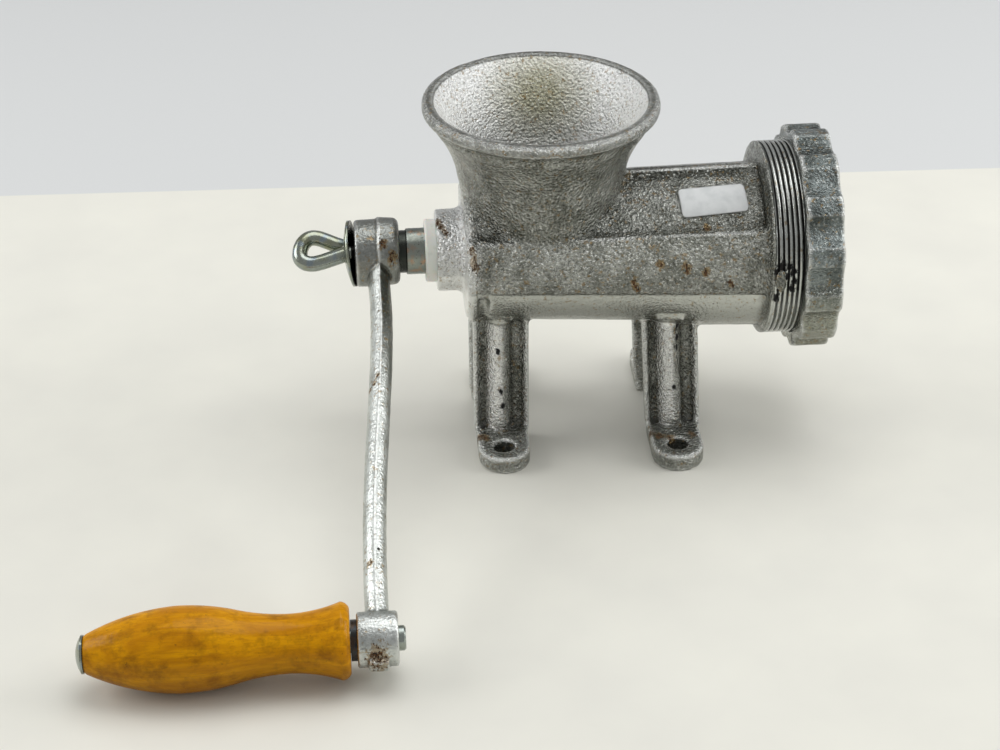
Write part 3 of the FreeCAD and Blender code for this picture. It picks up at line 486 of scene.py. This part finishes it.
def tinned_casting(name, rust, chips, bright="#A8AAA4", dull="#7A7C75", zones=None, depth=1.3,
                   mottle=0.5, gloss=(0.16, 0.27)):
    """Sand-cast grey iron dipped in tin: painted glints on its grains and edges, painted shade in its pits and
    hollows, and rust where thin tin lets it out.

    zones gives, for the material's tree and place, where the casting is machined, stained and so on, and where
    light and shade are painted into its colour."""
    material, tree, surface = new_material(name, {})
    where = place(tree)
    sand = grain(tree, where, 1.3, 3.0, 0.6)
    fine = grain(tree, where, 0.7, 2.0)
    clouds = grain(tree, where, 12.0, 3.0)
    hollow, painted_sheen = attribute(tree, "hollow"), attribute(tree, "painted_sheen")
    zone = dict.fromkeys(("smooth", "machined", "bare", "grime", "bright", "stained"))
    if zones is not None:
        zone.update(zones(tree, where))

    # The tin, cloudy, and its colour in each zone; several zones carry painted light and shade rather than the
    # tin's own colour
    skin = mixed(tree, ranged(tree, clouds, 0.35, 0.65), dull, bright)
    # The smooth zone is the barrel's belly, painted lighter: a painted reflection of the floor below
    skin = painted(tree, zone["smooth"], skin, "#C0C2BC")
    # The bright zone is painted lighter: the hopper's inside and the rear boss, partly brighter tin, partly
    # painted highlight
    skin = painted(tree, zone["bright"], skin, "#F4F5F4")
    # The stained zone: real stains, and on the hopper's back wall also painted shade
    skin = painted(tree, zone["stained"], skin, "#B0AE98")
    # The bare zone: turned and drilled iron and the dull hub, and painted shade on the barrel's ridge, the rim's
    # bead and the crank's right faces
    skin = painted(tree, zone["bare"], skin, "#5E605A")
    # Painted highlight on the sides of the legs' ribs and lips that face the crank
    skin = painted(tree, painted_sheen, skin, "#F6F7F5")

    # The sand's grains: pits get painted shade and tops painted glints; hollows get painted shade and edges a
    # painted highlight
    pit_shade = calculated(tree, "MULTIPLY", ranged(tree, sand, 0.46, 0.38), mottle)
    painted_glints = calculated(tree, "MULTIPLY", ranged(tree, sand, 0.56, 0.66), mottle)
    for part, left in ((zone["smooth"], SMOOTH_GRAIN), (zone["bright"], 0.6), (painted_sheen, 0.5)):
        pit_shade = weakened(tree, part, pit_shade, left)
    painted_glints = weakened(tree, zone["smooth"], painted_glints, SMOOTH_GRAIN)
    skin = mixed(tree, pit_shade, skin, "#3F403A")
    skin = mixed(tree, painted_glints, skin, "#E6E8E4")
    skin = mixed(tree, ranged(tree, hollow, 0.6, 3.5, 0.0, 0.55), skin, "#36362F")
    skin = mixed(tree, ranged(tree, hollow, -0.8, -3.0, 0.0, 0.75), skin, "#DDDFDC")
    skin = painted(tree, zone["machined"], skin, "#BEC1BD")

    # Rust at the marks and in scattered freckles, a stain round it, and chips down to dark iron
    freckles = grain(tree, where, 2.4, 4.0, 0.7)
    patches = grain(tree, where, 24.0, 1.0)
    freckle = calculated(tree, "MULTIPLY", ranged(tree, freckles, 0.73, 0.79),
                         ranged(tree, patches, 0.54, 0.62))
    freckle = weakened(tree, zone["bright"], freckle, 0.1)
    crumbs = grain(tree, stretched(tree, where, (1.0, 1.0, 0.45)), 1.1, 4.0, 0.7)
    near_rust = marks(tree, where, rust)
    rusted = calculated(tree, "MAXIMUM", ragged(tree, near_rust, crumbs, 0.40, 4.0), freckle)
    chipped = ragged(tree, marks(tree, where, chips), crumbs, 0.60, 2.0)
    stained = ragged(tree, near_rust, freckles, 0.75, 3.0)
    rust_colour = mixed(tree, ranged(tree, fine, 0.4, 0.6), "#6E4A24", "#1E160E")
    skin = mixed(tree, calculated(tree, "MULTIPLY", stained, 0.6), skin, "#8E713A")
    skin = mixed(tree, rusted, skin, rust_colour)
    skin = mixed(tree, chipped, skin, "#0C0B0A")
    # The grime zone: old grease in the thread's grooves, and on the crank hub's end by the washer a painted shade
    skin = painted(tree, zone["grime"], skin, "#0E0D0B")
    spoiled = calculated(tree, "MAXIMUM", rusted, chipped)
    if zone["grime"] is not None:
        spoiled = calculated(tree, "MAXIMUM", spoiled, zone["grime"])

    # Roughness and relief
    roughness = ranged(tree, clouds, 0.3, 0.7, *gloss)
    if zone["bright"] is not None:
        roughness = calculated(tree, "ADD", roughness,
                               calculated(tree, "MULTIPLY", zone["bright"], 0.14))
    roughness = add_node(tree, "ShaderNodeMix", {"data_type": "FLOAT", 3: SPOILED_ROUGHNESS},
                         {0: spoiled, 2: roughness}).outputs[0]
    pebbles = add_node(tree, "ShaderNodeTexVoronoi", {"Scale": 1 / (1.5 * MM)},
                       {"Vector": where}).outputs["Distance"]
    height = calculated(tree, "SUBTRACT", sand, calculated(tree, "MULTIPLY", pebbles, 0.45))
    height = weakened(tree, zone["smooth"], height, SMOOTH_GRAIN)
    height = weakened(tree, zone["machined"], height, 0.06)
    height = calculated(tree, "SUBTRACT", height, calculated(tree, "MULTIPLY", spoiled, 0.4))
    feed(tree, surface, {
        "Base Color": skin, "Roughness": roughness,
        "Metallic": ranged(tree, spoiled, 0.0, 1.0, 1.0, 0.1),
        "Normal": bumped(tree, height, depth)})
    return material


def bowl_wall(tree, z):
    """How far from its own axis the hopper's wall stands at a height."""
    (low, narrow), (bend, wide), (top, mouth) = BOWL_WALL
    return calculated(tree, "ADD", sloped(tree, z, low, bend, narrow, wide),
                      sloped(tree, z, bend, top, 0.0, mouth - wide))


def belly_painted_lighter(tree, x, z):
    """The barrel's lower side between two slanting edges, painted lighter with fainter grain: a painted reflection
    of the floor below.
    """
    top = sloped(tree, x, BELLY_FROM, BELLY_TO, *BELLY_TOPS)
    bottom = sloped(tree, x, BELLY_FROM, BELLY_BEND, *BELLY_BOTTOMS)
    drop = sloped(tree, x, BELLY_BEND, BELLY_DROPPED, 0.0, BELLY_DROP)
    bottom = calculated(tree, "SUBTRACT", bottom, drop)
    return calculated(tree, "MULTIPLY",
                      faded(tree, calculated(tree, "SUBTRACT", top, z), -0.5, 0.5),
                      faded(tree, calculated(tree, "SUBTRACT", z, bottom), 0.0, 1.0))


def drilled_holes(tree, where, z):
    """The walls and edges of the bolt holes in the feet."""
    holes = []
    for mount in frame["record"]["mounts"][:2]:
        radius, apart = mount["dims"]["hole_r_mm"], mount["dims"]["spacing_y_mm"] * MM
        for side in (-1, 1):
            away = away_from(tree, where, (mount["pos_m"][0], side * apart / 2, 0.0), FLAT)
            holes.append(faded(tree, away, radius + 0.6, radius + 0.2))
    return calculated(tree, "MULTIPLY", calculated(tree, "MAXIMUM", *holes),
                      faded(tree, z, FOOT_TOP + 0.1, FOOT_TOP - 0.4))


def housing_zones(tree, where):
    """Where the housing is machined, bare, stained or greasy, and where light and shade are painted into it: a
    lighter belly, a brighter bowl and boss, a darker spine and bead.
    """
    x, z = along_shaft(tree, where), axis_of(tree, where, "Z")
    from_shaft = away_from(tree, where, (0.0, 0.0, SHAFT_HEIGHT), ACROSS)
    from_bowl = away_from(tree, where, spot(HOPPER_X, 0, 0), FLAT)
    from_plane = away_from(tree, where, (0.0, 0.0, 0.0), SIDEWAYS)

    # The hopper's rim was turned: bare on top; its bead is painted half dark, a painted shade
    rim = calculated(tree, "MULTIPLY", faded(tree, z, RIM_TOP - 1.4, RIM_TOP - 0.8),
                     faded(tree, from_bowl, RIM_OUTSIDE - 0.4, RIM_OUTSIDE - 1.4))
    bead = calculated(tree, "MULTIPLY", faded(tree, z, *BEAD_SHADE),
                      faded(tree, from_bowl, RIM_OUTSIDE - 1.4, RIM_OUTSIDE - 0.4, 0.0, 0.6))
    # The ridge where the mould's halves met on top of the barrel is painted dark: partly grime, partly painted
    # shade on its side
    spine_grime_and_shade = calculated(tree, "MULTIPLY",
                       faded(tree, x, SPINE_FROM, SPINE_FROM + 4),
                       faded(tree, z, SPINE_BOTTOM, SPINE_BOTTOM + 2),
                       faded(tree, from_plane, SPINE_HALF, SPINE_HALF - 2),
                       faded(tree, x, SPINE_TO, SPINE_TO - 6),
                       faded(tree, z, SPINE_TOP, SPINE_TOP - 1))
    # The hopper's inside and the rear boss are painted lighter: partly brighter tin, partly painted highlight
    bowl = calculated(tree, "MULTIPLY", faded(tree, z, *BOWL_BRIGHT), faded(
        tree, calculated(tree, "SUBTRACT", from_bowl, bowl_wall(tree, z)), 0.5, -0.5))
    boss = calculated(tree, "MULTIPLY", faded(tree, x, *BOSS_BRIGHT, 0.0, 0.9),
                      faded(tree, z, *BOSS_BRIGHT_TOP))
    # The stain on the bowl's back wall also darkens it: partly a brownish stain, partly painted shade where the
    # wall faces the front
    stain = faded(tree, away_from(tree, where, spot(*STAIN_AND_SHADE_PLACE)), *STAIN_AND_SHADE_REACH)
    # Old grease lies between the thread's ridges, less of it below
    grooves = calculated(tree, "MULTIPLY",
                         faded(tree, from_shaft, THREAD_CREST - 0.45, THREAD_CREST - 0.9),
                         faded(tree, x, GROOVES_FROM, GROOVES_FROM + 0.4),
                         faded(tree, z, *GREASE_THICK, 0.35, 1.0))
    return {
        # The belly is painted lighter, a painted reflection of the floor below
        "smooth": belly_painted_lighter(tree, x, z),
        "machined": faded(tree, x, MACHINED_FROM, MACHINED_FROM + 0.6),
        "bare": calculated(tree, "MAXIMUM", rim, spine_grime_and_shade, bead, drilled_holes(tree, where, z)),
        "bright": calculated(tree, "MAXIMUM", bowl, boss),
        "stained": calculated(tree, "MULTIPLY", stain, bowl),
        "grime": grooves}


def crank_zones(tree, where):
    """The hub is dull; the arm's faces turned to the right near the hub get painted shade, and the hub's end
    towards the washer is painted black, a painted shade.
    """
    facing = axis_of(tree, add_node(tree, "ShaderNodeNewGeometry").outputs["Normal"], "X")
    from_shaft = away_from(tree, where, (0.0, 0.0, SHAFT_HEIGHT), ACROSS)
    # Painted shade on the arm's faces turned to the right, near the hub
    right = calculated(tree, "MULTIPLY", ranged(tree, facing, 0.0, 0.25),
                       faded(tree, from_shaft, *CRANK_SHADE))
    hub = faded(tree, from_shaft, *HUB_DULL, 0.0, 0.65)
    # Painted shade: the hub's end face towards the washer is painted black
    gap_shade = calculated(tree, "MULTIPLY", ranged(tree, facing, -0.7, -0.9),
                        faded(tree, from_shaft, *HUB_END_SHADE))
    return {"bare": calculated(tree, "MAXIMUM", right, hub), "grime": gap_shade}


def nut_zones(tree, where):
    """The nut's lower half has browned."""
    up = calculated(tree, "SUBTRACT", axis_of(tree, where, "Z"), SHAFT_HEIGHT)
    return {"stained": calculated(tree, "MULTIPLY", faded(tree, up, *NUT_BROWN), 0.45)}


def zinc_plated(name, shaded_inside=False, shaded_from=None):
    """Bright zinc plating with the faint yellow and blue of its passivation."""
    material, tree, surface = new_material(name, {"Metallic": 1.0})
    where = place(tree)
    tint = mixed(tree, ranged(tree, grain(tree, where, 8.0, 2.0), 0.35, 0.65), "#9DA49E", "#91947E")
    tint = mixed(tree, ranged(tree, grain(tree, where, 5.0, 1.0), 0.55, 0.7), tint, "#8E999D")
    # Painted shade: the washer's hollow side, turned to the hub, is painted black
    if shaded_inside:
        facing = add_node(tree, "ShaderNodeNewGeometry").outputs["Normal"]
        tint = mixed(tree, ranged(tree, axis_of(tree, facing, "X"), 0.3, 0.6), tint, "#0F0F0E")
    # Painted shade: the shank beyond the washer, in the gap by the hub, is painted black
    if shaded_from is not None:
        gap_shade = faded(tree, along_shaft(tree, where), shaded_from, shaded_from + 0.5)
        tint = mixed(tree, gap_shade, tint, "#141412")
    feed(tree, surface, {
        "Base Color": tint,
        "Roughness": ranged(tree, grain(tree, where, 1.2, 3.0), 0.3, 0.7, 0.16, 0.30),
        "Normal": bumped(tree, grain(tree, where, 0.8, 2.0), 0.03)})
    return material


def turned_steel(name, plain, blued, browned, dark_until=None):
    """Steel from the lathe: fine rings round the shaft line, blued and browned by heat."""
    material, tree, surface = new_material(name, {"Metallic": 1.0})
    where = place(tree)
    shade = mixed(tree, ranged(tree, grain(tree, where, 9.0, 2.0), 0.4, 0.62), plain, blued)
    shade = mixed(tree, ranged(tree, grain(tree, where, 6.0, 3.0), 0.50, 0.62), shade, browned)
    if dark_until is not None:
        dark = faded(tree, along_shaft(tree, where), dark_until, dark_until - 0.4)
        shade = mixed(tree, dark, shade, "#3A3D39")
    specks = ranged(tree, grain(tree, where, 1.6, 3.0, 0.7), 0.62, 0.70)
    shade = mixed(tree, calculated(tree, "MULTIPLY", specks, 0.7), shade, "#35291F")
    rings = add_node(tree, "ShaderNodeTexWave", {
        "wave_type": "BANDS", "bands_direction": "X", "Scale": 1 / (2.6 * MM) / 10,
        "Distortion": 0.4, "Detail": 2.0}, {"Vector": where}).outputs["Fac"]
    feed(tree, surface, {
        "Base Color": shade,
        "Roughness": ranged(tree, grain(tree, where, 2.0, 3.0), 0.3, 0.7, 0.24, 0.40),
        "Normal": bumped(tree, rings, 0.04)})
    return material


def ground_steel():
    """Hardened steel, flat-ground, with fine scratches across it."""
    material, tree, surface = new_material("ground_steel", {"Metallic": 1.0})
    where = place(tree)
    scratches = grain(tree, stretched(tree, where, (1.0, 0.08, 1.0)), 0.5, 2.0)
    feed(tree, surface, {
        "Base Color": mixed(tree, grain(tree, where, 12.0, 2.0), "#8B8F92", "#A0A3A4"),
        "Roughness": ranged(tree, scratches, 0.3, 0.7, 0.22, 0.38),
        "Normal": bumped(tree, scratches, 0.03)})
    return material


def milky_nylon():
    """Moulded natural nylon: milky, with grease and grey metal dust rubbed in."""
    material, tree, surface = new_material("milky_nylon", {
        "IOR": 1.53, "Subsurface Weight": 0.25, "Subsurface Scale": 2.0 * MM})
    where = place(tree)
    dust = ranged(tree, grain(tree, where, 4.0, 3.0), 0.55, 0.75, 0.0, 0.35)
    feed(tree, surface, {
        "Base Color": mixed(tree, dust, "#F4F6EE", "#C6C8BD"),
        "Roughness": ranged(tree, grain(tree, where, 2.0, 2.0), 0.3, 0.7, 0.35, 0.5),
        "Normal": bumped(tree, grain(tree, where, 1.0, 2.0), 0.03)})
    return material


def varnished_wood():
    """Turned hardwood under thick yellow varnish: long grain, dark smudges, and painted shade on its underside."""
    material, tree, surface = new_material("varnished_wood", {
        "IOR": 1.5, "Specular IOR Level": 0.05, "Coat Weight": 0.22, "Coat Roughness": 0.12,
        "Coat IOR": 1.45})
    where = place(tree)
    long_way = stretched(tree, where, (0.09, 1.0, 1.0))
    fibres = grain(tree, long_way, 1.1, 3.0, 0.6, 0.3)
    figure = grain(tree, long_way, 7.0, 2.0, 0.5, 1.2)
    smudge = ranged(tree, grain(tree, where, 9.0, 4.0, 0.65), 0.48, 0.70, 0.0, 0.6)
    stain = ranged(tree, grain(tree, where, 2.2, 3.0, 0.7), 0.66, 0.74, 0.0, 0.6)
    # Painted shade: the grip is painted darker on its underside
    facing = add_node(tree, "ShaderNodeTexCoord").outputs["Normal"]
    underside_shade = ranged(tree, axis_of(tree, facing, "Z"), 0.3, -0.7, 0.0, 0.6)
    wood = mixed(tree, ranged(tree, figure, 0.35, 0.65), "#DC9A00", "#BF7E00")
    wood = mixed(tree, ranged(tree, fibres, 0.45, 0.7, 0.0, 0.5), wood, "#A86A00")
    wood = mixed(tree, smudge, wood, "#6E4404")
    wood = mixed(tree, underside_shade, wood, "#6B4506")
    wood = mixed(tree, stain, wood, "#4A3008")
    ripple = calculated(tree, "ADD", grain(tree, where, 3.0, 2.0),
                        calculated(tree, "MULTIPLY", fibres, 0.4))
    feed(tree, surface, {
        "Base Color": wood,
        "Roughness": ranged(tree, fibres, 0.3, 0.7, 0.40, 0.55),
        "Normal": bumped(tree, ripple, 0.3),
        "Coat Normal": bumped(tree, grain(tree, where, 3.6, 3.0), 0.22)})
    return material


def label_paper():
    """A glossy white paper label, left blank, slightly greyed by handling."""
    material, tree, surface = new_material("label_paper", {"Roughness": 0.32, "IOR": 1.5})
    where = place(tree)
    handled = ranged(tree, grain(tree, where, 6.0, 3.0), 0.4, 0.7)
    feed(tree, surface, {
        "Base Color": mixed(tree, handled, "#D9DCDC", "#C9CDCD"),
        "Normal": bumped(tree, grain(tree, where, 4.0, 2.0), 0.12)})
    return material


# Marks on the castings: x, y, z and radius, in millimetres

HOUSING_RUST = (
    (-74.6, -6.9, 122.3, 3.4), (-73.0, -10.0, 120.8, 3.0), (-71.0, -12.8, 119.0, 2.8),
    (-59.6, -38.0, 122.4, 3.0), (-58.4, -40.2, 117.5, 2.6), (-57.9, -41.1, 115.1, 3.4),
    (56.9, -32.0, 125.3, 3.0), (19.8, -43.2, 103.5, 2.4), (20.9, -43.1, 101.0, 2.2),
    (22.0, -43.0, 98.7, 2.0), (32.6, -42.3, 111.9, 2.6), (46.0, -42.9, 109.9, 3.0),
    (55.4, -43.4, 107.5, 2.6), (68.1, -43.8, 100.8, 2.2), (-56.6, -31.5, 9.0, 4.6),
    (-53.8, -33.0, 9.0, 3.4), (31.5, -35.3, 9.0, 4.4), (36.3, -38.6, 9.0, 4.2),
    (41.3, -40.0, 9.0, 3.6), (53.1, -38.1, 9.0, 3.4))
HOUSING_CHIPS = (
    (-46.5, -27.8, 57.6, 2.1), (-45.2, -28.4, 33.9, 2.1), (-44.2, -28.3, 25.3, 2.3),
    (44.7, -28.5, 68.6, 2.5), (44.9, -28.9, 62.3, 2.3), (45.0, -29.1, 56.5, 2.3),
    (44.0, -31.0, 33.7, 2.1), (92.2, -48.1, 111.0, 4.0), (89.8, -48.4, 108.6, 2.4),
    (96.1, -48.1, 110.9, 3.2), (97.7, -48.5, 108.2, 3.2), (98.4, -48.8, 103.8, 2.8),
    (97.8, -48.7, 99.3, 2.8), (90.5, -47.9, 93.6, 3.0), (94.8, -48.6, 106.0, 2.4))
CRANK_RUST = (
    (-102.5, -13.2, 113.9, 3.4), (-98.4, -16.1, 108.0, 3.6), (-108.2, -80.7, 78.9, 2.0),
    (-110.3, -83.5, 76.2, 2.0), (-112.4, -84.2, 72.8, 2.0), (-116.0, -176.7, 38.6, 2.6),
    (-114.3, -220.1, 18.6, 7.0))
CRANK_CHIPS = ((-112.0, -170.0, 41.0, 1.4),)
NUT_RUST = ((109.8, -36.2, 141.6, 2.2),)
NUT_CHIPS = ((104.5, -30.0, 60.0, 3.0),)
SCREW_RUST = ((-20.0, 0.0, 125.0, 3.0),)


# Shapes of the castings

def housing_softness(points):
    """The rear wall's corner is softer than the rest."""
    x = (points[:, 0] - MIDDLE) / MM
    return 0.5 * ramp(x, CORNER_FROM, CORNER_FULL) * ramp(x, FRONT_TO, FRONT_FROM)


def over_channel(points):
    """For each leg, how far points stand out from its channel's floor, and their x from its middle.

    Both in millimetres."""
    x, z = (points[:, 0] - MIDDLE) / MM, points[:, 2] / MM
    down = np.clip((LEG_TOP - z) / (LEG_TOP - LEG_FOOT), 0.0, 1.0)
    for top_x, foot_x, top_face, foot_face in LEGS:
        face = top_face + (foot_face - top_face) * down
        yield (np.abs(points[:, 1]) / MM - face + CHANNEL_DEPTH,
               x - top_x - (foot_x - top_x) * down)


def housing_reshaped(points):
    """The housing's collar, throat and leg ribs as they came out of the mould."""
    points = points.copy()
    x, z = (points[:, 0] - MIDDLE) / MM, points[:, 2] / MM
    side, up = points[:, 1] / MM, z - SHAFT_HEIGHT / MM
    radius, turn = np.hypot(side, up), np.degrees(np.arctan2(up, np.abs(side)))
    # The collar's shoulder, pulled forward with the barrel's skin behind it
    pulled = (ramp(x, BARREL_STRETCHED_FROM, COLLAR_FROM) * ramp(x, COLLAR_TO, COLLAR_FROM + 1)
              * ramp(radius, BARREL_RADIUS, BARREL_RADIUS + 1.5))
    # The throat, raised nearly to the barrel's side in front of it
    outer, steps = radius > BARREL_RADIUS - 3, np.arange(THROAT_LOW - 1, THROAT_HIGH + 2, 2)
    in_front = outer & (x > FRONT_FROM) & (x < FRONT_TO)
    reference = [radius[in_front & (np.abs(turn - step) < 1.6)].max() for step in steps]
    target = np.interp(turn, steps, reference) - THROAT_DEPTH
    raised = (outer & (x > THROAT_FROM) & (x < THROAT_TO)
              & (turn > THROAT_LOW) & (turn < THROAT_HIGH))
    wider = np.where(raised, np.maximum(radius, target) / radius, 1.0)
    points[:, 0] += pulled * COLLAR_SHIFT * MM
    points[:, 1] *= wider
    points[:, 2] = SHAFT_HEIGHT + up * wider * MM
    # The legs' ribs, leaning to the right and taller
    on_leg = ramp(z, FOOT_TOP, FOOT_TOP + 5) * ramp(z, LEG_TOP + 0.3, LEG_TOP - 3.7)
    for height, across in over_channel(points):
        rib = (ramp(height, 0, RIB_HEIGHT) * on_leg
               * ramp(across, RIB_LEFT, RIB_LEFT + RIB_EDGE)
               * ramp(across, RIB_RIGHT, RIB_RIGHT - RIB_EDGE))
        points[:, 0] += RIB_SLANT * rib * MM
        points[:, 1] += RIB_RISE * rib * np.sign(points[:, 1]) * MM
    return points


def housing_painted_sheen(points, normals):
    """Ribs and lips of the legs get a painted highlight, most on their sides that face the crank."""
    z = points[:, 2] / MM
    bright = np.zeros(len(points))
    for height, across in over_channel(points):
        near = (np.abs(across) < SHEEN_HALF) & (z > SHEEN_FROM) & (z < SHEEN_TO)
        bright = np.maximum(bright, near * ramp(height, 0.5, 2.2))
    return bright * ramp(normals[:, 0], 0.40, 0.10)


def slipped_mould(points):
    """The hub's right half sits off its left half, where the two halves of the mould met."""
    x = (points[:, 0] - MIDDLE) / MM
    from_shaft = np.hypot(points[:, 1], points[:, 2] - SHAFT_HEIGHT) / MM
    share = (ramp(x, HUB_SPLIT - 0.3, HUB_SPLIT + 0.3)
             * ramp(from_shaft, *HUB_INNER) * ramp(from_shaft, *HUB_OUTER))
    return points + share[:, None] * np.array(HUB_SLIP) * MM


def opened_bore(points):
    """The nut's bore, widened so that the collar's thread has room."""
    across = points[:, 1:] - (0.0, SHAFT_HEIGHT)
    radius = np.hypot(across[:, 0], across[:, 1])
    inside = (points[:, 0] < MIDDLE + (NUT_LIP - 0.4) * MM) & (radius < NUT_BORE * MM)
    wider = np.where(inside, NUT_BORE * MM / radius, 1.0)
    return np.column_stack((points[:, 0], across * wider[:, None] + (0.0, SHAFT_HEIGHT)))


# Pieces made here, which ride on the frame's bodies

housing_tin = tinned_casting("tinned_casting_housing", HOUSING_RUST, HOUSING_CHIPS,
                             zones=housing_zones, mottle=0.6, gloss=(0.14, 0.25))
crank_tin = tinned_casting("tinned_casting_crank", CRANK_RUST, CRANK_CHIPS, "#D4D8D5", "#B6BAB6",
                           crank_zones, depth=0.3, mottle=0.2, gloss=(0.28, 0.38))
nut_tin = tinned_casting("tinned_casting_nut", NUT_RUST, NUT_CHIPS, "#848C8B", "#535957",
                         nut_zones, depth=0.9, mottle=0.3, gloss=(0.15, 0.24))
screw_tin = tinned_casting("tinned_casting_screw", SCREW_RUST, NUT_CHIPS)

coarse = 1.0
housing_mesh = sand_cast("housing", 1.05 * coarse, 4, ease=housing_softness,
                         reshape=housing_reshaped, painted_sheen=housing_painted_sheen)
housing = new_piece("housing_casting", housing_mesh, "root", housing_tin)
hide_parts("housing")
crank_mesh = sand_cast("crank_arm", 0.65 * coarse, 2, reshape=slipped_mould)
crank = new_piece("crank_casting", crank_mesh, "crank", crank_tin)
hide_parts("crank_arm")
nut_mesh = sand_cast("ring_nut", 0.85 * coarse, 2, reshape=opened_bore, wrinkle=0.15)
nut = new_piece("ring_nut_casting", nut_mesh, "nut", nut_tin)
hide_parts("ring_nut")
collar_mesh = screw_thread(THREAD_START, THREAD_END, THREAD_ROOT, THREAD_CREST, THREAD_PITCH,
                           THREAD_LAND, math.radians(30))
new_piece("collar_thread", collar_mesh, "root", housing_tin)
new_piece("metal_lump", metal_lump(), "root", screw_tin)
new_piece("blank_label", label_sheet(), "root", label_paper())

# Finishes of the CAD nodes that stay as they are
steel = turned_steel("turned_steel", "#92978F", "#7F8682", "#A68C76", dark_until=SHAFT_DARK_TO)
# The spindle washer's dark steel is painted shade of the gap between grip and hub
washer_gap_shade_steel = turned_steel("steel_painted_gap_shade", "#3E403F", "#34373A", "#4A4038")
ground, zinc, nylon = ground_steel(), zinc_plated("zinc_plated_pin"), milky_nylon()
FINISHES = {
    "feed_screw": screw_tin, "drive_shaft": steel, "handle_spindle": zinc,
    "spindle_washer": washer_gap_shade_steel, "plate_key": ground, "knife_stud": ground,
    "cross_knife": ground, "grinding_plate": ground, "rear_bush": nylon,
    "thrust_washer": nylon, "handle_grip": varnished_wood(),
}
for node, finish in FINISHES.items():
    mesh = frame["nodes"][node].data
    mesh.materials.clear()
    mesh.materials.append(finish)

# The eye screw's wire is bent round until its end lies behind the shank
eye_places = [spot(x, 0.0, 0.0) + EYE_UP * (up * MM) + EYE_BEHIND * (behind * MM)
              + Vector((0.0, 0.0, SHAFT_HEIGHT)) for x, up, behind in EYE_LINE]
shank_places = [on_shaft(x, 0.0, 0.0) for x in (EYE_THREAD_END, EYE_THREAD_START + 1)]
eye_mesh = joined(
    "eye_screw_wire", bent_wire(eye_places, WIRE_RADIUS),
    bent_wire(shank_places, EYE_THREAD_ROOT),
    screw_thread(EYE_THREAD_START, EYE_THREAD_END, EYE_THREAD_ROOT, WIRE_RADIUS,
                 EYE_THREAD_PITCH, EYE_THREAD_LAND))
# Its shank past the washer is painted black, a painted shade
eye = new_piece("eye_screw_wire", eye_mesh, "eye",
                zinc_plated("zinc_plated_wire", shaded_from=WASHER_MIDDLE + 0.5))
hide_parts("eye_screw")

# The dished washer hangs askew on the wire, its hollow side towards the hub
to_washer = Matrix.Translation(on_shaft(WASHER_MIDDLE, 0.0, 0.0))
askew = (Matrix.Translation((WASHER_SHIFT * MM, 0.0, 0.0)) @ to_washer
         @ Matrix.Rotation(math.radians(-WASHER_SWING), 4, "Z")
         @ Matrix.Rotation(math.radians(-WASHER_LEAN), 4, "Y") @ to_washer.inverted())
washer_mesh = welded_copy("dished_washer")
washer_mesh.transform(askew)
# Its hollow side is painted black, a painted shade
washer = new_piece("hanging_washer", washer_mesh, "washer",
                   zinc_plated("zinc_plated_washer", shaded_inside=True))
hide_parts("dished_washer")


# Table, light and camera

def table_top():
    """A pale sheet on a whiter table, whose edge crosses the view behind the grinder."""
    material, tree, surface = new_material("pale_table", {"Roughness": 0.6})
    where = place(tree)
    slanted = calculated(tree, "MULTIPLY", along_shaft(tree, where), EDGE_SLANT)
    back = calculated(tree, "ADD", axis_of(tree, where, "Y"), slanted)
    beyond = faded(tree, back, EDGE_BACK, EDGE_BACK + EDGE_WIDTH)
    sheet = mixed(tree, ranged(tree, grain(tree, where, 60.0, 3.0), 0.3, 0.7), "#EAE9DF", "#E4E3DA")
    feed(tree, surface, {"Base Color": mixed(tree, beyond, sheet, "#D6D8D8")})
    return material


floor_mesh = bpy.data.meshes.new("floor")
reach = TABLE_HALF * MM
floor_mesh.from_pydata([(-reach, -reach, 0), (reach, -reach, 0), (reach, reach, 0),
                        (-reach, reach, 0)], [], [(0, 1, 2, 3)])
floor = bpy.data.objects.new("table_top", floor_mesh)
bpy.context.scene.collection.objects.link(floor)
floor_mesh.materials.append(table_top())


def soft_light(name, where, size, radiance, tint="#FFFFFF"):
    """A square soft light of so many times white, aimed at the middle of the grinder."""
    lamp = bpy.data.lights.new(name, "AREA")
    lamp.shape = "RECTANGLE"
    lamp.size, lamp.size_y = size
    lamp.energy = radiance * math.pi * size[0] * size[1]
    lamp.color = colour(tint)[:3]
    light = bpy.data.objects.new(name, lamp)
    bpy.context.scene.collection.objects.link(light)
    light.location = spot(*where)
    aim = spot(0, 0, 80) - light.location
    light.rotation_euler = aim.to_track_quat("-Z", "Y").to_euler()


soft_light("overhead", (200, 250, 1500), (1.3, 1.1), 2.1)
soft_light("left_window", (-1450, 150, 800), (1.0, 0.9), 3.5)
soft_light("right_window", (1450, -50, 800), (1.0, 0.9), 4.0)

world = bpy.data.worlds.new("room")
bpy.context.scene.world = world
world.use_nodes = True
background = world.node_tree.nodes["Background"]
background.inputs["Color"].default_value = colour("#FFFFFF")
background.inputs["Strength"].default_value = 0.40

lens = bpy.data.cameras.new("camera")
lens.lens = CAMERA_LENS
lens.sensor_width = 36.0
camera = bpy.data.objects.new("camera", lens)
bpy.context.scene.collection.objects.link(camera)
backward = -CAMERA_LOOKS.normalized()
right = CAMERA_RIGHT.normalized()
turned = Matrix((right, backward.cross(right), backward)).transposed()
camera.matrix_world = Matrix.Translation(CAMERA_PLACE) @ turned.to_4x4()
bpy.context.scene.camera = camera
bpy.context.scene.view_settings.view_transform = "Standard"
